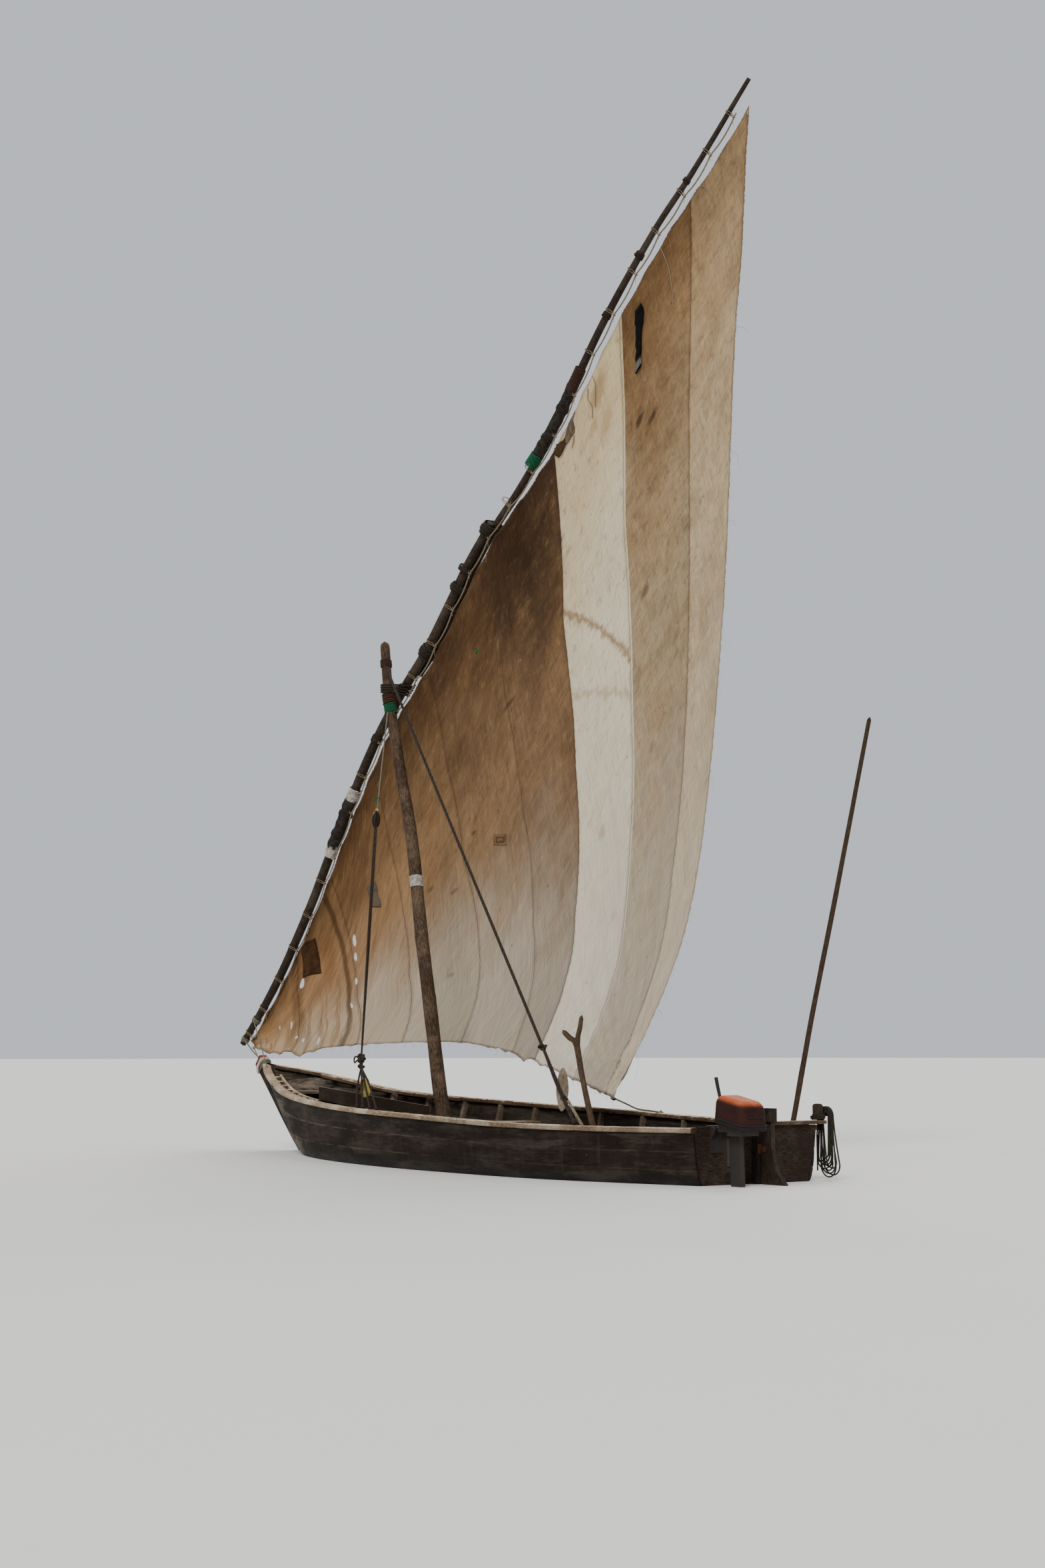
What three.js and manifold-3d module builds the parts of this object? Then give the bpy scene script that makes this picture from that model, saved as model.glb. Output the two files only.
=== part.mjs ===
// A small open dhow afloat: planked hull, raked mast, long lashed yard with a patched
// lateen sail, standing stays, hung rudder and a tiller-steered outboard motor.
// Millimetres. +X forward to the stem, +Y to port, +Z up. The origin is on the waterline,
// on the centreline, 4.8 m forward of the transom.
import * as THREE from "three";
import { mergeVertices } from "three/addons/utils/BufferGeometryUtils.js";
import Module from "manifold-3d";

const wasm = await Module();
wasm.setup();

// Clearance between pieces that bear on each other
const gap = 0.3;

// Hull form. Each row is one line from transom to stem; u is the share of its length.
const transomX = -4800;
const rowU = [0, 0.2, 0.4, 0.6, 0.8, 0.92, 1];
const hullRows = [
  { name: "keel", endX: 2780, y: [0, 0, 0, 0, 0, 0, 0], z: [-190, -345, -400, -405, -405, -400, -385] },
  {
    name: "bilge",
    endX: 3150,
    y: [470, 900, 1040, 960, 600, 270, 15],
    z: [-130, -290, -330, -335, -330, -305, -270],
  },
  { name: "water", endX: 3640, y: [690, 1215, 1335, 1255, 900, 480, 20], z: [0, 0, 0, 0, 0, 0, 0] },
  {
    name: "sheer",
    endX: 4790,
    y: [780, 1335, 1460, 1315, 835, 405, 20],
    z: [485, 488, 540, 600, 725, 925, 1040],
  },
];
const stations = 22;
const strakesPerSide = 3;
const linesPerStrake = 2;
const plankThick = 28;

// Backbone
const backboneHalf = 50;
const keelBottomZ = -500;
const keelRise = 45;
const stemDepthOut = 105;
const stemDepthIn = 60;
const stemHeadZ = 1150;
const sternpostDepth = 80;
const transomThick = 50;
const transomTopZ = 545;

// Frames, rails and thwarts
const frameWide = 46;
const frameDeep = 52;
const frameXs = [-4350, -3600, -2850, -2100, -1350, -600, 560, 1150, 1730, 2300, 2850, 3400];
const capThick = 55;
const capOut = 24;
const capIn = 84;
const inwale = { from: 15, to: 20, off: 150, wide: 34, low: 6, high: 50, blocks: 8, block: 60 };
const riserBand = [200, 280];
const riserDeep = 26;
const thwarts = [
  { name: "thwart_aft", x: -2600, wide: 230, thick: 40, z: 320.3 },
  { name: "thwart_mid", x: -850, wide: 230, thick: 40, z: 320.3 },
  { name: "thwart_mast", x: 560, wide: 300, thick: 60, z: 430 },
  { name: "thwart_fore", x: 2300, wide: 220, thick: 40, z: 420 },
];

// Mast: centre points of the bent trunk
const mastLine = [
  { x: 500, z: -290, r: 84 },
  { x: 560, z: 520, r: 84 },
  { x: 620, z: 690, r: 84 },
  { x: 830, z: 1610, r: 82 },
  { x: 1060, z: 2630, r: 78 },
  { x: 1280, z: 3750, r: 73 },
  { x: 1560, z: 4660, r: 68 },
  { x: 1830, z: 5600, r: 63 },
  { x: 1930, z: 6260, r: 56 },
];

// Yard: two spars lashed end over end with a short third one over the lower joint
const yardAxisX = 1830;
const yardYaw = THREE.MathUtils.degToRad(4);
const lowerSparLine = [
  { x: 5360, z: 1350, r: 42 },
  { x: 4920, z: 1770, r: 50 },
  { x: 4500, z: 2210, r: 54 },
  { x: 4120, z: 2680, r: 56 },
  { x: 3750, z: 3170, r: 57 },
  { x: 3310, z: 3830, r: 58 },
  { x: 2810, z: 4550, r: 58 },
  { x: 2390, z: 5100, r: 58 },
  { x: 1910, z: 5590, r: 58 },
  { x: 1370, z: 6080, r: 57 },
  { x: 940, z: 6560, r: 54 },
  { x: 550, z: 7020, r: 50 },
  { x: 120, z: 7440, r: 42 },
];
const yardLashings = [
  { x: 1370, z: 6080, side: 105, wide: 150 },
  { x: 180, z: 7380, side: 93, wide: 150 },
];
const upperSparLine = [
  { x: 1640, z: 5835, r: 40, side: 98 },
  { x: 1370, z: 6080, r: 48, side: 105.5 },
  { x: 940, z: 6560, r: 50, side: 104.5 },
  { x: 550, z: 7020, r: 50, side: 100.5 },
  { x: 120, z: 7440, r: 50, side: 92.5 },
  { x: -300, z: 7740, r: 50, side: 70 },
  { x: -710, z: 8060, r: 50, side: 40 },
  { x: -1060, z: 8390, r: 48, side: 20 },
  { x: -1400, z: 8800, r: 46, side: 10 },
  { x: -1910, z: 9390, r: 42, side: 4 },
  { x: -2750, z: 10200, r: 36, side: 4 },
  { x: -3330, z: 10650, r: 32, side: 4 },
  { x: -4190, z: 11400, r: 24, side: 4 },
];

// Sail corners and edges
const sailThick = 5;
const sailColumns = 18;
const sailLines = 12;
const bellyDepth = 350;
const luffFrom = 0.012;
const luffTo = 0.975;
const luffDrop = 120;
const luffRopeR = 10;
const leechLine = [
  [-4150, -670, 11130],
  [-3720, -950, 10060],
  [-3270, -1200, 8750],
  [-3030, -1350, 7960],
  [-2700, -1500, 6170],
  [-2420, -1500, 4240],
  [-2260, -1300, 2630],
  [-1990, -1100, 1690],
  [-1580, -800, 720],
];
const footLine = [
  [5060, 20, 1290],
  [4720, -20, 1230],
  [4110, -120, 1260],
  [3490, -300, 1300],
  [2540, -650, 1340],
  [1510, -950, 1330],
  [440, -1050, 1170],
  [-490, -1000, 940],
  [-1580, -800, 720],
];

// Shared makers

function spline(xs, ys) {
  const n = xs.length;
  const slope = new Array(n).fill(0);
  const rate = xs.slice(1).map((x, i) => (ys[i + 1] - ys[i]) / (x - xs[i]));
  for (let i = 1; i < n - 1; i++) slope[i] = (rate[i - 1] + rate[i]) / 2;
  slope[0] = 1.5 * rate[0] - 0.5 * slope[1];
  slope[n - 1] = 1.5 * rate[n - 2] - 0.5 * slope[n - 2];
  return (x) => {
    let i = xs.findIndex((v, k) => k && x <= v) - 1;
    if (i < 0) i = x <= xs[0] ? 0 : n - 2;
    const h = xs[i + 1] - xs[i];
    const t = THREE.MathUtils.clamp((x - xs[i]) / h, 0, 1);
    const a = ys[i] * (1 + 2 * t) * (1 - t) ** 2 + ys[i + 1] * t * t * (3 - 2 * t);
    return a + h * (slope[i] * t * (1 - t) ** 2 + slope[i + 1] * t * t * (t - 1));
  };
}

function solidFrom(points, faces) {
  const make = (tris) =>
    new wasm.Manifold(
      new wasm.Mesh({
        numProp: 3,
        vertProperties: new Float32Array(points.flat()),
        triVerts: new Uint32Array(tris.flat()),
      }),
    );
  const made = make(faces);
  return made.volume() < 0 ? make(faces.map(([a, b, c]) => [a, c, b])) : made;
}

function solidOf(geometry) {
  const plain = geometry.clone();
  plain.deleteAttribute("normal");
  plain.deleteAttribute("uv");
  const merged = mergeVertices(plain, 1e-3);
  const points = [];
  const place = merged.attributes.position;
  for (let i = 0; i < place.count; i++) points.push([place.getX(i), place.getY(i), place.getZ(i)]);
  const faces = [];
  for (let i = 0; i < merged.index.count; i += 3) {
    const tri = [0, 1, 2].map((k) => merged.index.getX(i + k));
    if (new Set(tri).size === 3) faces.push(tri);
  }
  return solidFrom(points, faces);
}

function geometryOf(solid) {
  const mesh = solid.getMesh();
  const flat = new Float32Array(mesh.numVert * 3);
  for (let i = 0; i < mesh.numVert; i++)
    flat.set(mesh.vertProperties.subarray(i * mesh.numProp, i * mesh.numProp + 3), i * 3);
  const geometry = new THREE.BufferGeometry();
  geometry.setAttribute("position", new THREE.BufferAttribute(flat, 3));
  geometry.setIndex(new THREE.BufferAttribute(mesh.triVerts, 1));
  geometry.computeVertexNormals();
  return geometry;
}

// A slab between two grids of points that face each other
function slabSolid(outer, inner) {
  const rows = outer.length;
  const columns = outer[0].length;
  const points = [...outer.flat(), ...inner.flat()];
  const a = (i, j) => i * columns + j;
  const b = (i, j) => rows * columns + i * columns + j;
  const faces = [];
  const quad = (p, q, r, s) => faces.push([p, q, r], [p, r, s]);
  for (let i = 0; i < rows - 1; i++)
    for (let j = 0; j < columns - 1; j++) {
      quad(a(i, j), a(i + 1, j), a(i + 1, j + 1), a(i, j + 1));
      quad(b(i, j), b(i, j + 1), b(i + 1, j + 1), b(i + 1, j));
    }
  for (let i = 0; i < rows - 1; i++) {
    quad(a(i + 1, 0), a(i, 0), b(i, 0), b(i + 1, 0));
    quad(a(i, columns - 1), a(i + 1, columns - 1), b(i + 1, columns - 1), b(i, columns - 1));
  }
  for (let j = 0; j < columns - 1; j++) {
    quad(a(0, j), a(0, j + 1), b(0, j + 1), b(0, j));
    quad(a(rows - 1, j + 1), a(rows - 1, j), b(rows - 1, j), b(rows - 1, j + 1));
  }
  return solidFrom(points, faces);
}

// A body through closed rings of equal count, its ends closed by a fan from their middles.
// The first faces of each ring can be split along their other diagonal, to mirror the rest.
function ringSolid(rings, turnedUpTo = 0) {
  const count = rings[0].length;
  const points = rings.flat();
  const faces = [];
  for (let i = 0; i < rings.length - 1; i++)
    for (let j = 0; j < count; j++) {
      const k = (j + 1) % count;
      const [p, q, r, s] = [i * count + j, i * count + k, (i + 1) * count + k, (i + 1) * count + j];
      if (j < turnedUpTo) faces.push([p, q, s], [q, r, s]);
      else faces.push([p, q, r], [p, r, s]);
    }
  const close = (first, turn) => {
    const ring = points.slice(first, first + count);
    const middle = [0, 1, 2].map((c) => ring.reduce((sum, p) => sum + p[c], 0) / count);
    points.push(middle);
    const m = points.length - 1;
    for (let j = 0; j < count; j++) {
      const k = (j + 1) % count;
      faces.push(turn ? [m, first + k, first + j] : [m, first + j, first + k]);
    }
  };
  close(0, true);
  close((rings.length - 1) * count, false);
  return solidFrom(points, faces);
}

function boxSolid(x0, x1, y0, y1, z0, z1) {
  const box = new THREE.BoxGeometry(x1 - x0, y1 - y0, z1 - z0);
  box.translate((x0 + x1) / 2, (y0 + y1) / 2, (z0 + z1) / 2);
  return solidOf(box);
}

function join(solids) {
  return solids.reduce((sum, piece) => sum.add(piece));
}

// A round bar through points with their own radii
function taperedBar(line, sides) {
  const spots = line.map((p) => new THREE.Vector3(p.x, p.y, p.z));
  const path = new THREE.CatmullRomCurve3(spots, false, "centripetal");
  const steps = (line.length - 1) * (line.length > 6 ? 1 : 2);
  const rings = [];
  for (let i = 0; i <= steps; i++) {
    const t = i / steps;
    const place = path.getPoint(t);
    const along = path.getTangent(t);
    const across = new THREE.Vector3(0, 1, 0).cross(along).normalize();
    const up = along.clone().cross(across).normalize();
    const k = Math.min(line.length - 2, Math.floor(t * (line.length - 1)));
    const r = THREE.MathUtils.lerp(line[k].r, line[k + 1].r, t * (line.length - 1) - k);
    const ring = [];
    for (let j = 0; j < sides; j++) {
      const angle = (2 * Math.PI * j) / sides;
      const p = place.clone().addScaledVector(across, r * Math.cos(angle));
      ring.push(p.addScaledVector(up, r * Math.sin(angle)).toArray());
    }
    rings.push(ring);
  }
  return ringSolid(rings);
}

// A rope or rod along a smooth curve
function ropeSolid(points, radius, sides = 8, steps = points.length * 3) {
  const path = new THREE.CatmullRomCurve3(points.map((p) => new THREE.Vector3(...p)));
  const section = new THREE.Shape();
  for (let j = 0; j < sides; j++) {
    const angle = (2 * Math.PI * j) / sides;
    section[j ? "lineTo" : "moveTo"](radius * Math.cos(angle), radius * Math.sin(angle));
  }
  section.closePath();
  return solidOf(new THREE.ExtrudeGeometry(section, { steps, bevelEnabled: false, extrudePath: path }));
}

// An outline in the X-Z plane, as thick as y0 to y1
function plateXZ(outline, y0, y1) {
  const shape = new THREE.Shape(outline.map(([x, z]) => new THREE.Vector2(x, z)));
  const plate = new THREE.ExtrudeGeometry(shape, { depth: y1 - y0, bevelEnabled: false });
  plate.rotateX(Math.PI / 2);
  plate.translate(0, y1, 0);
  return solidOf(plate);
}

// Hull surface

const rowCurves = hullRows.map((row) => ({
  x: (u) => THREE.MathUtils.lerp(transomX, row.endX, u),
  y: spline(rowU, row.y),
  z: spline(rowU, row.z),
}));

// v runs from 0 at the keel to 3 at the sheer
function hullPoint(u, v, side) {
  const at = rowCurves.map((row) => new THREE.Vector3(row.x(u), row.y(u), row.z(u)));
  const p = new THREE.CatmullRomCurve3(at, false, "centripetal").getPoint(v / 3);
  return new THREE.Vector3(p.x, side * Math.max(p.y, 0), p.z);
}

function hullInset(u, v, side, depth) {
  const step = 0.01;
  const u0 = Math.max(u - step, 0);
  const u1 = Math.min(u + step, 1);
  const v0 = Math.max(v - step, 0);
  const v1 = Math.min(v + step, 3);
  const along = hullPoint(u1, v, 1).sub(hullPoint(u0, v, 1));
  const up = hullPoint(u, v1, 1).sub(hullPoint(u, v0, 1));
  const inward = along.cross(up).normalize();
  const p = hullPoint(u, v, 1).addScaledVector(inward, depth);
  return [p.x, side * Math.max(p.y, 1), p.z];
}

const uAt = (i) => i / stations;

function strakeSolid(k, side) {
  const v0 = (3 * k) / strakesPerSide;
  const v1 = (3 * (k + 1)) / strakesPerSide;
  const seam = k < strakesPerSide - 1 ? 0.002 : 0;
  const outer = [];
  const inner = [];
  for (let i = 0; i <= stations; i++) {
    const outerLine = [];
    const innerLine = [];
    for (let j = 0; j <= linesPerStrake; j++) {
      const v = THREE.MathUtils.lerp(v0, v1 - seam, j / linesPerStrake);
      outerLine.push(hullPoint(uAt(i), v, side).toArray());
      innerLine.push(hullInset(uAt(i), v, side, plankThick));
    }
    outer.push(outerLine);
    inner.push(innerLine);
  }
  return slabSolid(outer, inner);
}

// Everything inside the hull surface inset by a depth, open upwards past the sheer
function insideSolid(depth) {
  const rings = [];
  const lines = strakesPerSide * linesPerStrake;
  for (let i = 0; i <= stations; i++) {
    const half = [];
    for (let j = 0; j <= lines; j++) half.push(hullInset(uAt(i), (3 * j) / lines, 1, depth));
    const top = half[lines];
    half.push([top[0], top[1], top[2] + 400]);
    const mirrored = half.slice(1).reverse().map(([x, y, z]) => [x, -y, z]);
    rings.push([...mirrored, [half[0][0], 0, half[0][2]], ...half.slice(1)]);
  }
  const aft = rings[0].map(([x, y, z]) => [x - 60, y, z]);
  return ringSolid([aft, ...rings], lines + 1);
}

const keelZ = (x) => {
  const share = (x - transomX) / (hullRows[0].endX - transomX);
  return rowCurves[0].z(THREE.MathUtils.clamp(share, 0, 1));
};

// Rabbet line of the stem from forefoot to head
const stemRabbet = new THREE.CatmullRomCurve3(
  hullRows.map((row) => new THREE.Vector3(row.endX, 0, row.z[row.z.length - 1])),
  false,
  "centripetal",
);

function stemOutline(extra) {
  const out = [];
  const back = [];
  for (let i = 0; i <= 12; i++) {
    const t = i / 12;
    const p = stemRabbet.getPoint(t);
    const d = stemRabbet.getTangent(t);
    out.push([p.x + d.z * (stemDepthOut + extra), p.z - d.x * (stemDepthOut + extra)]);
    back.unshift([p.x - d.z * (stemDepthIn + extra), p.z + d.x * (stemDepthIn + extra)]);
  }
  const heel = hullRows[0].endX - 110;
  out.unshift([heel, keelBottomZ - extra]);
  back.push([heel, keelZ(heel) + keelRise + extra]);
  const head = stemRabbet.getTangent(1);
  const rise = (stemHeadZ - hullRows[3].z[6]) / head.z;
  const tip = (p) => [p[0] + head.x * rise, p[1] + head.z * rise];
  return [...out, tip(out[13]), tip(back[0]), ...back];
}

const scarfX = hullRows[0].endX - 60;

function keelOutline(extra) {
  const top = [];
  for (let i = 0; i <= 12; i++) {
    const x = THREE.MathUtils.lerp(transomX, scarfX, i / 12);
    top.push([x, keelZ(x) + keelRise + extra]);
  }
  return [[transomX, keelBottomZ], ...top, [scarfX, keelBottomZ]].map(([x, z]) => [x, z]);
}

const keel = plateXZ(keelOutline(0), -backboneHalf, backboneHalf);
const stempost = plateXZ(stemOutline(0), -backboneHalf, backboneHalf).subtract(
  boxSolid(scarfX - 400, scarfX + gap, -200, 200, -700, 200),
);
const backboneClear = join([
  plateXZ(keelOutline(gap), -backboneHalf - gap, backboneHalf + gap),
  plateXZ(stemOutline(gap), -backboneHalf - gap, backboneHalf + gap),
]);
const middleSlab = boxSolid(-5200, 5400, -backboneHalf - gap, backboneHalf + gap, -700, 1500);

const inside = insideSolid(plankThick + gap);
const insideFrames = insideSolid(plankThick + frameDeep + gap);
const frameShell = inside.subtract(insideFrames);

const sheerPoint = (i, side) => hullPoint(uAt(i), 3, side);

// A rail on the sheer, from y offsets out and in and z offsets above the plank edge
function railSolid(side, out, into, low, high, from, to) {
  const rings = [];
  for (let i = from; i <= to; i++) {
    const p = sheerPoint(i, side);
    const q0 = sheerPoint(Math.max(i - 1, 0), side);
    const q1 = sheerPoint(Math.min(i + 1, stations), side);
    const away = new THREE.Vector2(-(q1.y - q0.y), q1.x - q0.x).normalize().multiplyScalar(side);
    const spot = (d, z) => [p.x + away.x * d, p.y + away.y * d, p.z + z];
    rings.push([spot(out, low), spot(out, high), spot(-into, high), spot(-into, low)]);
  }
  return ringSolid(rings);
}

const sternCut = boxSolid(transomX - 400, transomX, -3000, 3000, -900, 3000);

const capRails = [1, -1].map((side) => {
  const [low, high] = side > 0 ? [backboneHalf + gap, 3000] : [-3000, -backboneHalf - gap];
  const besideStem = boxSolid(transomX, 5400, low, high, 0, 2000);
  return railSolid(side, capOut, capIn, 0.5, capThick, 0, stations).intersect(besideStem);
});
const capClear = [1, -1].map((side) =>
  railSolid(side, capOut + 2, capIn + 2, 0, capThick + gap, 0, stations),
);

// What stands above the plank edges
const aboveSheer = [1, -1].map((side) => railSolid(side, capOut + 60, capIn + 120, 0, 600, 0, stations));

// Inner rail of the open gunwale at the bow, held off the cap by short blocks
const inwales = [1, -1].map((side) => {
  const { off, wide, low, high, from, to } = inwale;
  const bar = railSolid(side, -off, off + wide, low, high, from, to);
  const blocks = [];
  for (let i = 0; i < inwale.blocks; i++) {
    const at = THREE.MathUtils.lerp(from, to, (i + 0.5) / inwale.blocks);
    const [p, q] = [hullPoint(uAt(at), 3, side), hullPoint(uAt(at + 0.2), 3, side)];
    const along = new THREE.Vector2(q.x - p.x, q.y - p.y).normalize();
    const away = new THREE.Vector2(-along.y, along.x).multiplyScalar(side);
    const spot = (d, s, z) => [p.x - away.x * d + along.x * s, p.y - away.y * d + along.y * s, p.z + z];
    const ring = (d) => [
      spot(d, -inwale.block / 2, low + 4),
      spot(d, -inwale.block / 2, high - 4),
      spot(d, inwale.block / 2, high - 4),
      spot(d, inwale.block / 2, low + 4),
    ];
    blocks.push(ringSolid([ring(capIn - 10), ring(off + 5)]));
  }
  const capRoom = railSolid(side, capOut + 2, capIn + gap, 0, capThick + gap, 0, stations);
  return join([bar, ...blocks]).subtract(capRoom);
});

const capInnerY = hullRows[3].y[0] - capIn;
const transomNotch = [1, -1].map((side) => {
  const [low, high] = side > 0 ? [capInnerY - 4, 2000] : [-2000, 4 - capInnerY];
  return boxSolid(transomX - 1, transomX + transomThick + 1, low, high, hullRows[3].z[0] - 1, 2000);
});
const transom = inside
  .intersect(boxSolid(transomX, transomX + transomThick, -2000, 2000, -600, transomTopZ))
  .subtract(backboneClear)
  .subtract(transomNotch[0])
  .subtract(transomNotch[1]);
const transomClear = boxSolid(transomX - 1, transomX + transomThick + gap, -2000, 2000, -900, 900);

const frameSlabs = join(
  frameXs.map((x) => boxSolid(x - frameWide / 2, x + frameWide / 2, -2000, 2000, -900, 2000)),
);
const keelsonTall = 95;
const keelsonTopZ = (x) => keelZ(x) + keelRise + gap + keelsonTall;
const keelsonSolid = (extra) => {
  const outline = [];
  const low = [];
  for (let i = 0; i <= 10; i++) {
    const x = THREE.MathUtils.lerp(-4500, 2800, i / 10);
    outline.push([x, keelsonTopZ(x) + extra]);
    low.unshift([x, keelZ(x) + keelRise + gap]);
  }
  const apron = [];
  const apronBack = [];
  for (let i = 0; i <= 10; i++) {
    const p = stemRabbet.getPoint(i / 11);
    const d = stemRabbet.getTangent(i / 11);
    apron.push([p.x - d.z * (stemDepthIn + gap), p.z + d.x * (stemDepthIn + gap)]);
    const deep = stemDepthIn + 100 + extra;
    apronBack.unshift([p.x - d.z * deep, p.z + d.x * deep]);
  }
  const half = 70 + extra;
  return plateXZ([...outline, ...low], -half, half).add(plateXZ([...apron, ...apronBack], -half, half));
};
const frames = frameShell
  .intersect(frameSlabs)
  .subtract(aboveSheer[0])
  .subtract(aboveSheer[1])
  .add(keelsonSolid(0))
  .subtract(backboneClear)
  .intersect(inside);

const frameClear = insideSolid(plankThick + frameDeep + 2 * gap).subtract(keelsonSolid(gap));

// Risers that carry the thwart ends
const riserShell = frameClear.subtract(insideSolid(plankThick + frameDeep + riserDeep + gap));
const risers = [1, -1].map((side) =>
  riserShell.intersect(
    boxSolid(-4300, 2700, side > 0 ? 60 : -2000, side > 0 ? 2000 : -60, riserBand[0], riserBand[1]),
  ),
);

const thwartSolids = thwarts.map((t) => {
  const board = frameClear.intersect(
    boxSolid(t.x - t.wide / 2, t.x + t.wide / 2, -2000, 2000, t.z - t.thick, t.z),
  );
  return board;
});

// Bottom boards: slats on battens
const boardTopZ = -150;
const bottomBoards = (() => {
  const undersideZ = boardTopZ - 22;
  const slats = [-500, -350, -200, 200, 350, 500].map((y) =>
    boxSolid(-3700, 1500, y - 62, y + 62, undersideZ, boardTopZ),
  );
  const battens = [-3600, -2500, -1400, -300, 800, 1450].map((x) =>
    boxSolid(x - 35, x + 35, -540, 540, undersideZ - 30, undersideZ),
  );
  return join([...slats, ...battens])
    .intersect(insideSolid(plankThick + frameDeep + 3))
    .subtract(keelsonSolid(gap));
})();

// Stern deck and breasthook deck
const sternDeckZ = 330;
const sternDeck = frameClear
  .intersect(boxSolid(-4700, -3400, -2000, 2000, sternDeckZ - 28, sternDeckZ))
  .subtract(transomClear);
const foreDeck = frameClear
  .intersect(boxSolid(3300, 4300, -2000, 2000, 720, 750))
  .subtract(backboneClear);

// Spars

const withY = (line, y) => line.map((p) => ({ x: p.x, y: y(p), z: p.z, r: p.r }));
const mastSides = 12;
const mastBar = taperedBar(withY(mastLine, () => 0), mastSides);
const mastHole = taperedBar(withY(mastLine, () => 0).map((p) => ({ ...p, r: p.r + 2 })), mastSides);
const heelZ = keelsonTopZ(500);
const mastStep = boxSolid(380, 640, -130, 130, heelZ + gap, heelZ + 60).subtract(mastHole);
const mast = mastBar.subtract(boxSolid(0, 1000, -300, 300, -700, heelZ + gap));
const thwartMast = thwartSolids[2].subtract(mastHole);

const yardTackX = 5360;
const yardY = (x) => 30 - (yardTackX - x) * Math.tan(yardYaw);
const lowerSpar = taperedBar(withY(lowerSparLine, (p) => yardY(p.x)), 12);
const upperSpar = taperedBar(withY(upperSparLine, (p) => yardY(p.x) - p.side), 12);
const spars = join([
  taperedBar(withY(lowerSparLine, (p) => yardY(p.x)).map((p) => ({ ...p, r: p.r + gap })), 12),
  taperedBar(withY(upperSparLine, (p) => yardY(p.x) - p.side).map((p) => ({ ...p, r: p.r + gap })), 12),
]);

// Turns of rope round both spars where they overlap
const lashings = yardLashings.map((l) => {
  const shape = new THREE.Shape();
  const half = l.side / 2;
  shape.absarc(0, half, 68, 0, Math.PI, false);
  shape.absarc(0, -half, 68, Math.PI, 2 * Math.PI, false);
  const band = new THREE.ExtrudeGeometry(shape, { depth: l.wide, bevelEnabled: false, curveSegments: 8 });
  band.translate(0, 0, -l.wide / 2);
  const rise = Math.atan2(-0.7, 0.72);
  band.rotateY(rise);
  band.translate(l.x, yardY(l.x) - half, l.z);
  return solidOf(band).subtract(spars);
});

// Spot on top of a cap rail at a given x, side +1 port or -1 starboard
function capPoint(x, side) {
  const u = (x - transomX) / (hullRows[3].endX - transomX);
  const p = hullPoint(u, 3, side);
  return [x, p.y - side * 30, p.z + capThick];
}

// Sail

const yardLine = new THREE.CatmullRomCurve3(
  [...lowerSparLine.slice(0, 10), ...upperSparLine.slice(2)].map(
    (p) => new THREE.Vector3(p.x, yardY(p.x), p.z),
  ),
  false,
  "centripetal",
);
const leech = new THREE.CatmullRomCurve3(leechLine.map((p) => new THREE.Vector3(...p)));
const foot = new THREE.CatmullRomCurve3(footLine.map((p) => new THREE.Vector3(...p)));

function luffPoint(s) {
  const share = THREE.MathUtils.lerp(luffFrom, luffTo, s);
  const p = yardLine.getPointAt(share);
  const d = yardLine.getTangentAt(share);
  return new THREE.Vector3(p.x - d.z * luffDrop, p.y, p.z + d.x * luffDrop);
}

// s runs along the yard from tack to peak, t down a cloth from the yard to the foot
function sailPoint(s, t) {
  const corner = { tack: luffPoint(0), peak: luffPoint(1), low: foot.getPoint(0), clew: foot.getPoint(1) };
  const head = luffPoint(s).multiplyScalar(1 - t);
  const base = foot.getPointAt(s).multiplyScalar(t);
  const front = corner.tack.clone().lerp(corner.low, t).multiplyScalar(1 - s);
  const back = leech.getPointAt(t).multiplyScalar(s);
  const mixed = corner.tack.clone().multiplyScalar((1 - s) * (1 - t));
  mixed.addScaledVector(corner.peak, s * (1 - t));
  mixed.addScaledVector(corner.low, (1 - s) * t).addScaledVector(corner.clew, s * t);
  const p = head.add(base).add(front).add(back).sub(mixed);
  p.y -= bellyDepth * 4 * s * (1 - s) * 4 * t * (1 - t);
  return p;
}

function sailGrid(shift) {
  const rows = [];
  for (let i = 0; i <= sailColumns; i++) {
    const line = [];
    for (let j = 0; j <= sailLines; j++) {
      const p = sailPoint(i / sailColumns, j / sailLines);
      line.push([p.x, p.y + shift, p.z]);
    }
    rows.push(line);
  }
  return rows;
}
const sail = slabSolid(sailGrid(sailThick / 2), sailGrid(-sailThick / 2));

// Luff rope along the head of the sail, with short ties up to the spars
const luffRope = (() => {
  const along = [];
  for (let i = 0; i <= sailColumns; i++) {
    const p = luffPoint(i / sailColumns);
    const [after, before] = [Math.min(1, (i + 0.5) / sailColumns), Math.max(0, (i - 0.5) / sailColumns)];
    const d = luffPoint(after).sub(luffPoint(before)).normalize();
    along.push({ x: p.x + d.z * luffRopeR, y: p.y, z: p.z - d.x * luffRopeR, r: luffRopeR });
  }
  const ties = [];
  for (let i = 1; i < sailColumns; i += 2) {
    const p = along[i];
    const d = luffPoint((i + 0.5) / sailColumns).sub(luffPoint((i - 0.5) / sailColumns)).normalize();
    const end = { x: p.x + d.z * luffDrop, y: p.y, z: p.z - d.x * luffDrop, r: 8 };
    ties.push(taperedBar([{ ...p, r: 8 }, end], 6));
  }
  return join([taperedBar(along, 8), ...ties]).subtract(spars);
})();

// Standing rigging

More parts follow.
